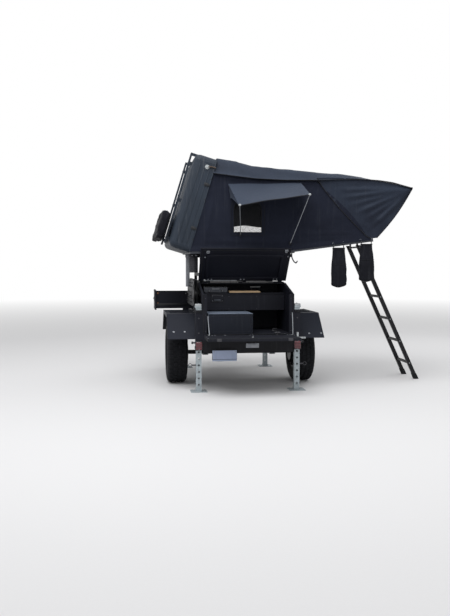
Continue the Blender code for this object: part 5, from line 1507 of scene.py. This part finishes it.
def coverPiece(settings):
    work = bmesh.new()
    turn = Matrix.Rotation(-coverPlace["angle"], 4, "Y")
    near, far, length, depth = (coverPlace[key] for key in ("nearY", "farY", "length", "depth"))
    rise, width = settings["ribHeight"], settings["ribWidth"]
    ribs = (settings["ribEnd"], length - settings["ribEnd"])

    def bar(alongs, ys, outs, look=0, round=0.002):
        addTilted(work, onCover, (alongs, sorted(ys), outs), turn, look, round)

    for y, side in ((near, -1), (far, 1)):
        for out in settings["sideRibs"]:
            bar(ribs, (y + side * rise, y - side * 0.002), (out - width / 2, out + width / 2))
        bar((0.01, length - 0.01), (y + side * 0.006, y - side * 0.003), settings["rim"])
        for along in settings["rimBolts"]:
            addBolt(work, onCover(along, y + side * 0.006, 0.008), (0, side, 0), 0.0045, 1)
        for along in settings["catches"]:  # they hold the cover when it is shut
            bar((along - 0.020, along + 0.020), (y, y + side * 0.010), (0.018, 0.075), 1, 0.003)
            bar((along - 0.012, along + 0.012), (y + side * 0.009, y + side * 0.016), (0.004, 0.055), 1)
    for y in settings["backRibs"]:
        bar(ribs, (y - width, y + width), (depth - 0.002, depth + rise))
    bar((length - 0.004, length + 0.004), (near + 0.08, far - 0.08), settings["rim"])
    for y in settings["carrierRows"]:
        for along in settings["carrierBolts"]:
            up = onCover(0, 0, 1) - onCover(0, 0, 0)
            addBolt(work, onCover(along, y, settings["carrierOut"]), up, 0.006, 2)
    knob = onCover(settings["knobAlong"], near - rise, settings["knobOut"])
    addRod(work, knob + Vector((0, 0.012, 0)), knob - Vector((0, 0.010, 0)), 0.030, 24, 3, 0.026)
    addRod(work, knob - Vector((0, 0.008, 0)), knob - Vector((0, 0.020, 0)), 0.016, 20, 3, 0.011)
    strap = [knob - Vector((-0.01, 0.004, 0)), knob + Vector((0.05, -0.008, 0.002)), settings["strapEnd"]]
    addTube(work, smoothPath(strap), 0.009, 8, 4)
    finishes = palette("tent_cover", "blackPlastic", "zinc", "whitePlastic", "tanWebbing")
    addPiece("coverTrim", work, finishes, "trailer", 34.0)


coverPiece(coverCut)

flapCut = {
    "y": 1.672, "left": -0.17, "right": 0.52, "top": 2.385, "bottom": 2.095, "belly": 0.014, "hem": 0.02
}


def windowFlap(settings):  # the far window's cover, let part of the way down inside
    left, top, y = settings["left"], settings["top"], settings["y"]
    width, drop = settings["right"] - left, top - settings["bottom"]
    work = bmesh.new()

    def place(along, down):
        x, z = left + width * along, top - drop * down
        wave = 0.010 * math.sin(along * 14) * down + ruffle(x * 3, z * 3, 5, 0.006, 3)
        belly = settings["belly"] * math.sin(math.pi * down)
        return Vector((x, y - belly + wave * 0.6, z - 0.012 * math.sin(along * 9) * down))

    addGrid(work, 48, 18, place)
    made = addPiece("windowFlap", work, palette("tent_fabric"), "trailer", 60.0)


windowFlap(flapCut)

print("hatch and tailgate: hinges, rings, stays and light")
lidCut = {
    "hinge": (0.55, 1.33), "angle": math.radians(48), "sheet": 0.006, "leaves": (-0.428, -0.010, 0.416),
    "rings": ((-1, -0.475, 0.520), (1, 0.508, 0.535)), "ringRadius": 0.018, "lightX": (-0.48, -0.08),
    "lightAlong": 0.050, "lightOut": 0.014, "clips": (-0.40, -0.16), "sealHalf": 0.540,
    "sealAlong": (0.06, 0.540),
}


def underLid(x, along, out):  # a point below the raised lid's underside
    c, s = math.cos(lidCut["angle"]), math.sin(lidCut["angle"])
    y, z = lidCut["hinge"]
    drop = out + lidCut["sheet"]
    return Vector((x, y - along * c - drop * s, z + along * s - drop * c))


def lidFittings(settings):
    work = bmesh.new()
    turn = Matrix.Rotation(-settings["angle"], 4, "X")
    down = underLid(0, 0, 1) - underLid(0, 0, 0)
    forth = underLid(0, 1, 0) - underLid(0, 0, 0)

    def bar(xs, alongs, outs, look, round=0.0015):
        addTilted(work, underLid, (xs, alongs, outs), turn, look, round)

    for x in settings["leaves"]:
        bar((x - 0.036, x + 0.036), (0.062, 0.088), (0.021, 0.026), 0)
        for dx in (-0.020, 0.022):
            addBolt(work, underLid(x + dx, 0.075, 0.026), down, 0.0065, 1)
    radius = settings["ringRadius"]
    for side, x, along in settings["rings"]:
        bar((x - 0.020, x + 0.020), (along - 0.022, along + 0.022), (0.0, 0.004), 1)
        addTube(work, ringPath(underLid(x, along, 0.010), (radius, 0, 0), forth * radius), 0.0035, 8, 1)
        for dx in (-0.012, 0.012):
            addBolt(work, underLid(x + dx, along - 0.014, 0.004), down, 0.004, 1)
        addBolt(work, underLid(x + side * 0.032, along - 0.092, 0.0), down, 0.007, 1)
    along, out = settings["lightAlong"], settings["lightOut"]
    start, end = (underLid(x, along, out) for x in settings["lightX"])
    addRod(work, start, end, 0.0105, 20, 2)
    addRod(work, start - Vector((0.022, 0, 0)), start, 0.0125, 20, 3)
    addRod(work, end, end + Vector((0.010, 0, 0)), 0.0125, 20, 0)
    for x in settings["clips"]:
        bar((x - 0.008, x + 0.008), (along - 0.012, along + 0.012), (0.0, 0.022), 0, 0.0)
    half, (low, high) = settings["sealHalf"], settings["sealAlong"]
    corners = ((-half, low), (-half, high), (half, high), (half, low))
    addStretches(work, [underLid(x, reach, 0.0) for x, reach in corners], 0.005, 8, 4)
    finishes = palette("tub_black", "zinc", "lightTube", "whitePlastic", "rubber")
    addPiece("lidFittings", work, finishes, "lid", 34.0)


lidFittings(lidCut)

tailgateCut = {
    "top": 0.695, "half": 0.553, "edgeY": -0.524, "leaves": (-0.438, 0.026, 0.488), "leafY": (-0.100, -0.046),
    "rivet": (-0.296, -0.060), "button": (0.002, -0.333), "loop": (0.339, -0.103), "rivetRise": 0.0032,
    "keepers": 0.42, "keeperSize": (0.056, 0.048, 0.032), "edgeStuds": (-0.44, -0.30, -0.16),
}


def tailgateFittings(settings):
    work = bmesh.new()
    top, half, edge, rise = (settings[key] for key in ("top", "half", "edgeY", "rivetRise"))

    def onTop(x, y, height=0.0):
        return Vector((x, y, top + height))

    near, far = settings["leafY"]
    for x in settings["leaves"]:
        addBox(work, onTop(x - 0.030, near, -0.001), onTop(x + 0.030, far, 0.0015), 0, None, 0.0005)
        for dx in (-0.017, 0.017):
            addRod(work, onTop(x + dx, -0.070), onTop(x + dx, -0.070, rise), 0.009, 16, 1, 0.007)
    addRod(work, onTop(*settings["rivet"], -0.001), onTop(*settings["rivet"], rise), 0.009, 16, 1, 0.007)
    addRod(work, onTop(*settings["button"], -0.001), onTop(*settings["button"], 0.006), 0.013, 20, 2, 0.010)
    x, y = settings["loop"]
    addRod(work, onTop(x, y), onTop(x, y, 0.030), 0.008, 14, 3)
    addRod(work, onTop(x - 0.034, y, 0.032), onTop(x + 0.034, y, 0.032), 0.009, 14, 3)
    for side in (-1, 1):  # folded stiffening edges and latch keepers
        x, keeper = side * (half - 0.012), side * settings["keepers"]
        addBox(work, onTop(x - 0.008, edge + 0.02, -0.001), onTop(x + 0.008, -0.06, 0.004), 0, None, 0.002)
        addBlock(work, (keeper, edge + 0.021, 0.683), settings["keeperSize"], 3, 0.002)
        addRod(work, (keeper, edge - 0.006, 0.682), (keeper, edge + 0.001, 0.682), 0.009, 16, 3)
        for y in settings["edgeStuds"]:
            addRod(work, onTop(x, y, 0.003), onTop(x, y, 0.006), 0.005, 12, 1, 0.003)
    seal = half - 0.02
    addTube(work, [onTop(-seal, edge + 0.008, 0.001), onTop(seal, edge + 0.008, 0.001)], 0.005, 8, 4)
    finishes = palette("tub_black", "zinc", "whitePlastic", "dark_steel", "rubber")
    addPiece("tailgateFittings", work, finishes, "tailgate", 34.0)


tailgateFittings(tailgateCut)

stayCut = {
    "left": ((-0.500, -0.002, 0.917), (-0.494, -0.030, 0.80), (-0.486, -0.060, 0.703)),
    "right": ((0.546, -0.002, 0.955), (0.545, -0.034, 0.82), (0.541, -0.062, 0.6985)),
    "width": 0.0045, "thickness": 0.002,
}


def tailgateStay(side, settings):
    path = smoothPath(settings[side], 10)
    half, thin = settings["width"], settings["thickness"]
    across = Vector((1, 0, 0))
    rings = []
    for index, point in enumerate(path):
        ahead = (path[min(index + 1, len(path) - 1)] - path[max(index - 1, 0)]).normalized()
        out = ahead.cross(across).normalized()
        corners = ((-half, -thin), (half, -thin), (half, thin), (-half, thin))
        rings.append([point + across * a + out * b for a, b in corners])
    work = bmesh.new()
    addLoft(work, rings, caps=True)
    bmesh.ops.recalc_face_normals(work, faces=work.faces)
    start, end = path[0], path[-1]
    made = addPiece("tailgateStay" + side.title(), work, palette("zinc"), None, 40.0)
    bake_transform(made)
    bolt = bmesh.new()
    addRod(bolt, start + Vector((0, 0.004, 0.004)), start + Vector((0, -0.0025, 0.004)), 0.008, 16, 0, 0.006)
    addPiece("stayBolt" + side.title(), bolt, palette("zinc"), "trailer")
    foot = bmesh.new()
    addBox(foot, end + Vector((-0.018, -0.014, -0.005)), end + Vector((0.004, 0.014, 0.0005)), 0, None, 0.001)
    addRod(foot, end + Vector((-0.010, 0, 0)), end + Vector((-0.010, 0, 0.0008)), 0.005, 14, 1)
    addPiece("stayFoot" + side.title(), foot, palette("whitePlastic", "zinc"), "tailgate")


for side in ("left", "right"):
    tailgateStay(side, stayCut)

print("tub: rear edge, lamps, fenders and racks")
tubCut = {
    "leaves": (-0.488, -0.025, 0.438), "floor": 0.70, "openingHalf": 0.551, "postTop": 1.185,
    "postStud": 0.528,
    "postStuds": (0.74, 0.94, 1.14), "shoulder": ((0.557, 0.004, 1.183), (0.557, 0.545, 1.310)), "wall": 0.57,
    "wallStuds": (0.14, 0.30, 0.46), "beamPlate": ((-0.031, -0.006, 0.534), (0.130, 0.001, 0.590)),
    "handle": ((0.385, 0.45, 0.708), (0.392, 0.45, 0.728), (0.434, 0.45, 0.728), (0.443, 0.45, 0.708)),
    "hook": ((0.600, 1.716), (0.600, 1.650), (0.622, 1.600), (0.652, 1.575), (0.672, 1.600)), "hookY": 0.30,
}


def tubFittings(settings):
    work = bmesh.new()
    floor, wall, opening = settings["floor"], settings["wall"], settings["openingHalf"]
    for x in settings["leaves"]:
        for dx in (-0.018, 0.018):
            addBolt(work, (x + dx, 0.018, floor), (0, 0, 1), 0.006, 1)
    addBox(work, (0.373, 0.435, floor), (0.454, 0.465, 0.712), 2, None, 0.004)
    addTube(work, smoothPath(settings["handle"]), 0.005, 8, 2)
    addBox(work, (0.560, -0.006, 0.640), (0.715, 0.004, 0.662), 3, None, 0.002)  # pale bracket over the lamp
    addBox(work, (0.602, -0.006, 0.655), (0.626, 0.004, 0.719), 3, None, 0.002)
    for x in (0.585, 0.690):
        addBolt(work, (x, -0.006, 0.651), (0, -1, 0), 0.006, 1)
    low, high = settings["beamPlate"]
    addBox(work, low, high, 5, None, 0.002)
    for x in (low[0] + 0.013, high[0] - 0.013):
        for z in (low[2] + 0.011, high[2] - 0.011):
            addBolt(work, (x, low[1], z), (0, -1, 0), 0.005, 1)
    for side in (-1, 1):  # rubber seal round the opening, with studs beside it
        addTube(
            work, [(side * opening, 0.0, floor + 0.005), (side * opening, 0.0, settings["postTop"])], 0.0055,
            8, 4,
        )
        for z in settings["postStuds"]:
            x = side * settings["postStud"]
            addRod(work, (x, 0.001, z), (x, -0.003, z), 0.006, 14, 2, 0.004)
        addTube(work, [(side * x, y, z) for x, y, z in settings["shoulder"]], 0.0055, 8, 4)
        for y in settings["wallStuds"]:
            z = 1.155 + 0.128 * y / 0.55
            addRod(work, (side * wall, y, z), (side * (wall + 0.0035), y, z), 0.006, 14, 2, 0.004)
    addTube(work, [(-0.53, 0.0, 0.7015), (0.53, 0.0, 0.7015)], 0.004, 8, 4)
    addTube(work, smoothPath([(x, settings["hookY"], z) for x, z in settings["hook"]]), 0.008, 10, 2)
    addBox(work, (0.570, 0.280, 1.700), (0.632, 0.320, 1.712), 2, None, 0.002)
    finishes = palette("chassis_black", "zinc", "dark_steel", "whitePlastic", "rubber", "aluminium")
    addPiece("tubFittings", work, finishes, "trailer", 34.0)


tubFittings(tubCut)

lampCut = {
    "x": 0.61, "face": -0.0273, "half": 0.044, "back": (0.509, 0.621), "bars": (0.549, 0.583),
    "screws": (0.524, 0.606),
    "cable": ((0.03, 0.02, 0.515), (0.05, 0.03, 0.50), (0.09, 0.05, 0.515), (0.14, 0.058, 0.53)),
    "plateX": (-0.447, -0.145), "plateZ": (0.397, 0.510), "plateY": -0.0105, "plateBolts": (-0.426, -0.166),
}


def lampTrim(settings):
    work = bmesh.new()
    face, half, (low, high) = settings["face"], settings["half"], settings["back"]
    for side in (-1, 1):
        x = side * settings["x"]
        addBox(work, (x - half, face + 0.010, low), (x + half, face + 0.032, high), 0, None, 0.006)
        for z in settings["bars"]:
            addBlock(work, (x, face + 0.00125, z), (0.079, 0.0055, 0.003), 0, 0.001)
        for z in settings["screws"]:
            addRod(work, (x, face + 0.002, z), (x, face - 0.0012, z), 0.004, 12, 1, 0.003)
        addTube(
            work, smoothPath([(x - side * inward, y, z) for inward, y, z in settings["cable"]]), 0.0035, 8, 0
        )
    for x in settings["plateBolts"]:
        addBolt(work, (x, -0.0123, 0.492), (0, -1, 0), 0.005, 1)
    (left, right), (low, high), y = settings["plateX"], settings["plateZ"], settings["plateY"]
    frame = [(left, y, low), (right, y, low), (right, y, high), (left, y, high), (left, y, low)]
    addTube(work, frame, 0.0035, 8, 0)
    addPiece("lampTrim", work, palette("blackPlastic", "zinc"), "trailer")


lampTrim(lampCut)

fenderCut = {
    "skirtBolts": ((-0.905, 0.206), (-0.769, 0.206), (0.800, 0.171), (0.955, 0.171)), "top": 0.93,
    "low": 0.640,
    "slope": (0.12, 0.43), "ends": (1.31, 1.62), "edge": 0.979, "bolts": (0.52, 0.87, 1.22),
    "pad": (0.66, 0.93),
    "bars": 8, "firstBar": 0.60, "barPitch": 0.075,
}


def fenderTrim(settings):
    work = bmesh.new()
    top, low, (near, rise), (fall, far) = (settings[key] for key in ("top", "low", "slope", "ends"))
    incline = (top - low) / (rise - near)
    normal = Vector((0, -0.683, 0.730))
    for x, y in settings["skirtBolts"]:
        addBolt(work, (x, y, low + (y - near) * incline), normal, 0.008, 1)
    for side in (-1, 1):
        for y in settings["bolts"]:
            addBolt(work, (side * 0.60, y, top), (0, 0, 1), 0.007, 1)
            addBolt(work, (side * 0.98, y, 0.912), (side, 0, 0), 0.005, 1)
        x = side * settings["edge"]
        addStretches(work, [(x, near, low), (x, rise, top), (x, fall, top), (x, far, low)], 0.004)
        left, right = sorted(side * reach for reach in settings["pad"])
        for row in range(settings["bars"]):  # raised grip bars on the flat top
            y = settings["firstBar"] + row * settings["barPitch"]
            addBox(work, (left, y - 0.006, top - 0.001), (right, y + 0.006, top + 0.0035), 0, None, 0.0015)
    addPiece("fenderTrim", work, palette("sheet_black", "zinc"), "trailer", 34.0)


fenderTrim(fenderCut)

rackCut = {
    "bars": (0.66, 1.50), "barEnd": 0.66, "post": 0.52, "postFoot": 1.318, "footHalf": 0.045,
    "footBolts": 0.033,
    "bracket": ((-0.722, 0.630, 1.270), (-0.672, 0.638, 1.690)),
    "gusset": ((-0.672, 0.632, 1.450), (-0.565, 0.639, 1.690)),
    "bracketBolts": ((-0.64, 1.67), (-0.59, 1.67), (-0.697, 1.30), (-0.697, 1.66)),
}


def rackTrim(settings):
    work = bmesh.new()
    addBox(work, *settings["bracket"], 0, None, 0.002)
    addBox(work, *settings["gusset"], 1, None, 0.002)
    for x, z in settings["bracketBolts"]:
        addBolt(work, (x, 0.630, z), (0, -1, 0), 0.006, 2)
    low, half, spread = settings["postFoot"], settings["footHalf"], settings["footBolts"]
    for y in settings["bars"]:
        for side in (-1, 1):
            left, right = sorted((side * settings["barEnd"], side * (settings["barEnd"] + 0.006)))
            addBox(work, (left, y - 0.019, 1.651), (right, y + 0.019, 1.689), 3, None, 0.002)
            x = side * settings["post"]
            addBox(work, (x - half, y - half, low), (x + half, y + half, low + 0.008), 4, None, 0.001)
            for dx in (-spread, spread):
                for dy in (-spread, spread):
                    addBolt(work, (x + dx, y + dy, low + 0.008), (0, 0, 1), 0.005, 2)
            for dx in (-0.05, 0.05):
                addBolt(work, (x + dx, y - 0.02, 1.67), (0, -1, 0), 0.005, 2)
    finishes = palette("aluminium", "dark_steel", "zinc", "blackPlastic", "chassis_black")
    addPiece("rackTrim", work, finishes, "trailer", 34.0)


rackTrim(rackCut)

print("kitchen: drawers, stove and counter")
rearDrawerCut = {
    "x": (-0.486, 0.051), "z": (0.7043, 0.951), "studInset": 0.012, "beadX": 0.03, "beadZ": 0.028
}


def rearDrawerTrim(settings):  # corner studs and the pressed bead round the drawer's face
    work = bmesh.new()
    (left, right), (low, high) = settings["x"], settings["z"]
    inset = settings["studInset"]
    for x in (left + inset, right - inset):
        for z in (low + inset, (low + high) / 2, high - inset):
            addRod(work, (x, 0.002, z), (x, -0.0025, z), 0.006, 14, 1, 0.004)
    left, right = left + settings["beadX"], right - settings["beadX"]
    low, high = low + settings["beadZ"], high - settings["beadZ"]
    corners = [(left, 0.001, low), (right, 0.001, low), (right, 0.001, high), (left, 0.001, high)]
    addStretches(work, [*corners, corners[0]], 0.0022)
    addPiece("rearDrawerTrim", work, palette("drawer_grey", "blackPlastic"), "rear_drawer")


upperDrawerCut = {
    "studX": (-0.52, -0.18, 0.18, 0.52), "studZ": (0.985, 1.146), "face": 0.485, "plateY": 0.474,
    "rim": ((-0.40, 1.162), (-0.26, 1.162), (-0.258, 1.083), (-0.402, 1.083), (-0.40, 1.162)),
    "plate": ((-0.398, 0.4745, 1.087), (-0.262, 0.478, 1.158)),
    "paddle": ((-0.372, 0.4705, 1.098), (-0.288, 0.475, 1.134)),
    "rivetX": (-0.392, -0.268), "rivetZ": (1.093, 1.152),
}


def upperDrawerTrim(settings):  # face studs and a recessed latch with its paddle
    work = bmesh.new()
    face = settings["face"]
    for x in settings["studX"]:
        for z in settings["studZ"]:
            addRod(work, (x, face, z), (x, face - 0.0045, z), 0.006, 14, 0, 0.004)
    addTube(work, [(x, settings["plateY"], z) for x, z in settings["rim"]], 0.003, 8, 0)
    addBox(work, *settings["plate"], 0, None, 0.001)
    addBox(work, *settings["paddle"], 1, None, 0.002)
    for x in settings["rivetX"]:
        for z in settings["rivetZ"]:
            addRod(work, (x, 0.475, z), (x, 0.4715, z), 0.0035, 10, 1, 0.0025)
    addPiece("upperDrawerTrim", work, palette("dark_steel", "zinc"), "upper_drawer")


sideDrawerCut = {
    "ends": ((-1, 1.411), (1, 1.849)), "boltX": -1.055, "boltZ": (1.156, 1.014), "studY": (1.40, 1.86),
    "studZ": (0.940, 1.06, 1.180), "face": -1.095, "latch": ((-1.104, 1.59, 1.045), (-1.095, 1.67, 1.105)),
    "catch": ((-1.112, 1.605, 1.065), (-1.102, 1.655, 1.090)), "slides": (1.4080, 1.8520),
}


def sideDrawerTrim(settings):
    work = bmesh.new()
    face = settings["face"]
    for z in settings["boltZ"]:
        for out, y in settings["ends"]:
            addBolt(work, (settings["boltX"], y, z), (0, out, 0), 0.008, 1)
    for y in settings["studY"]:
        for z in settings["studZ"]:
            addRod(work, (face, y, z), (face - 0.0045, y, z), 0.006, 14, 2, 0.004)
    addBox(work, *settings["latch"], 2, None, 0.003)
    addBox(work, *settings["catch"], 0, None, 0.003)
    for y in settings["slides"]:
        addBox(work, (-1.07, y - 0.004, 0.985), (-0.60, y + 0.004, 1.015), 2, None, 0.0015)
    addPiece("sideDrawerTrim", work, palette("zinc", "rustBolt", "blackPlastic"), "side_drawer")


rearDrawerTrim(rearDrawerCut)
upperDrawerTrim(upperDrawerCut)
sideDrawerTrim(sideDrawerCut)

kitchenCut = {
    "dials": (-0.43, -0.26), "stoveFace": 0.541, "catches": (-0.49, -0.20), "ribs": (0.60, 0.70, 0.80),
    "handle": (
        (-0.385, 0.541, 1.238), (-0.385, 0.528, 1.240), (-0.305, 0.528, 1.240), (-0.305, 0.541, 1.238)
    ),
    "board": ((-0.150, 0.525), (0.210, 0.525), (0.210, 0.745), (-0.150, 0.745)), "boardTop": 1.2113,
    "gripX": 0.180, "gripY": (0.600, 0.670), "rail": ((0.134, 0.742, 1.250), (0.274, 0.754, 1.266)),
}


def kitchenTrim(settings):
    work = bmesh.new()
    addTube(work, [(-0.543, 0.493, 1.187), (0.543, 0.493, 1.187)], 0.0045, 10, 0)
    face = settings["stoveFace"]
    for x in settings["dials"]:
        addRod(work, (x, face, 1.216), (x, face - 0.014, 1.216), 0.014, 20, 1, 0.012)
        addBlock(work, (x, 0.5265, 1.216), (0.004, 0.005, 0.022), 2, 0.0006)
    addTube(work, smoothPath(settings["handle"]), 0.0035, 8, 2)
    for x in settings["catches"]:
        addBox(work, (x - 0.006, 0.560, 1.2585), (x + 0.006, 0.850, 1.2625), 2, None, 0.001)
    for y in settings["ribs"]:
        addBox(work, (-0.480, y - 0.003, 1.2590), (-0.210, y + 0.003, 1.2612), 2, None, 0.001)
    top = settings["boardTop"]
    groove = [(x, y, top) for x, y in settings["board"]]
    addStretches(work, [*groove, groove[0]], 0.0018, 8, 3)
    addTube(work, smoothPath([(settings["gripX"], y, top + 0.0007) for y in settings["gripY"]]), 0.008, 10, 4)
    addBox(work, *settings["rail"], 5, None, 0.004)  # rail of a small utensil stand
    for x in (0.150, 0.258):
        addRod(work, (x, 0.748, 1.211), (x, 0.748, 1.252), 0.004, 12, 1)
    finishes = palette("tub_black", "blackPlastic", "zinc", "bamboo", "dark_steel", "whitePlastic")
    addPiece("kitchenTrim", work, finishes, "trailer", 34.0)


kitchenTrim(kitchenCut)

ladderCut = {
    "footX": 2.42, "pivot": (1.60, 1.785), "rails": ((0.72, 0.752), (1.188, 1.22)), "halfDepth": 0.0275,
    "cap": 0.075,
    "rungs": 5, "firstRung": 0.24, "rungPitch": 0.33, "ribs": (-0.013, 0.0, 0.013),
}


def ladderTrim(settings):  # rubber feet, ribbed treads over the rungs and the rivets beside them
    work = bmesh.new()
    foot, cap = settings["footX"], settings["cap"]
    lean = Vector((settings["pivot"][0] - foot, settings["pivot"][1]))
    for near, far in settings["rails"]:
        rings = []
        for z, proud in ((0.0, 0.005), (cap, 0.004), (cap + 0.004, 0.001)):
            x, half = foot + lean.x * z / lean.y, settings["halfDepth"] + proud
            left, right, low, high = x - half, x + half, near - proud, far + proud
            rings.append(
                [
                    Vector((left, low, z)), Vector((right, low, z)), Vector((right, high, z)),
                    Vector((left, high, z)),
                ],
            )
        addLoft(work, rings, 0, caps=True)
    for index in range(settings["rungs"]):
        along = (settings["firstRung"] + index * settings["rungPitch"]) / lean.length
        x, z = foot + lean.x * along, lean.y * along
        addBox(work, (x - 0.022, 0.753, z + 0.010), (x + 0.022, 1.187, z + 0.017), 1, None, 0.002)
        for rib in settings["ribs"]:
            addBox(
                work, (x + rib - 0.002, 0.756, z + 0.016), (x + rib + 0.002, 1.184, z + 0.0195), 0, None,
                0.0005,
            )
        for y in (0.719, 1.221):
            addRod(work, (x, y - 0.002, z), (x, y + 0.002, z), 0.007, 12, 2)
    bmesh.ops.recalc_face_normals(work, faces=work.faces)
    addPiece("ladderTrim", work, palette("rubber", "ladder_black", "zinc"), "ladder", 34.0)


ladderTrim(ladderCut)

gearCut = {
    "axle": (0.87, 0.395), "springX": 0.45, "shackles": (0.40, 1.34), "strap": 0.036,
    "straps": (-0.034, 0.034),
    "strapZ": (0.470, 0.362), "hub": 0.775, "flange": (0.684, 0.690),
    "harness": (
        (-0.30, 0.10, 0.60), (-0.32, 0.60, 0.60), (-0.30, 1.40, 0.605), (-0.20, 2.20, 0.60),
        (-0.02, 2.60, 0.60),
    ),
    "brakePipe": ((-0.40, 0.80, 0.45), (-0.20, 0.86, 0.425), (0.20, 0.86, 0.425), (0.40, 0.80, 0.45)),
}


def runningGear(settings):  # spring plates and straps, shackle bolts, hub flanges and the underside's pipes
    work = bmesh.new()
    (y, z), reach = settings["axle"], settings["strap"]
    high, low = settings["strapZ"]
    inner, outer = settings["flange"]
    for side in (-1, 1):
        x = side * settings["springX"]
        addBox(work, (x - 0.045, y - 0.05, 0.452), (x + 0.045, y + 0.05, 0.462), 0, None, 0.002)
        for dy in settings["straps"]:
            bend = ((x - reach, high), (x - reach, low), (x + reach, low), (x + reach, high))
            addStretches(work, [(across, y + dy, height) for across, height in bend], 0.006, 8, 1)
            for dx in (-reach, reach):
                addBolt(work, (x + dx, y + dy, 0.462), (0, 0, 1), 0.009, 1)
        for along in settings["shackles"]:
            addRod(work, (x - 0.046, along, 0.472), (x + 0.046, along, 0.472), 0.010, 6, 1)
        addRod(work, (side * outer, y, z), (side * settings["hub"], y, z), 0.115, 40, 0)
        addRod(work, (side * inner, y, z), (side * outer, y, z), 0.125, 40, 2)
    addTube(work, smoothPath(settings["harness"]), 0.007, 8, 2)
    addTube(work, smoothPath(settings["brakePipe"]), 0.0045, 8, 2)
    finishes = palette("chassis_black", "zinc", "blackPlastic")
    addPiece("runningGear", work, finishes, "trailer", 34.0)


runningGear(gearCut)
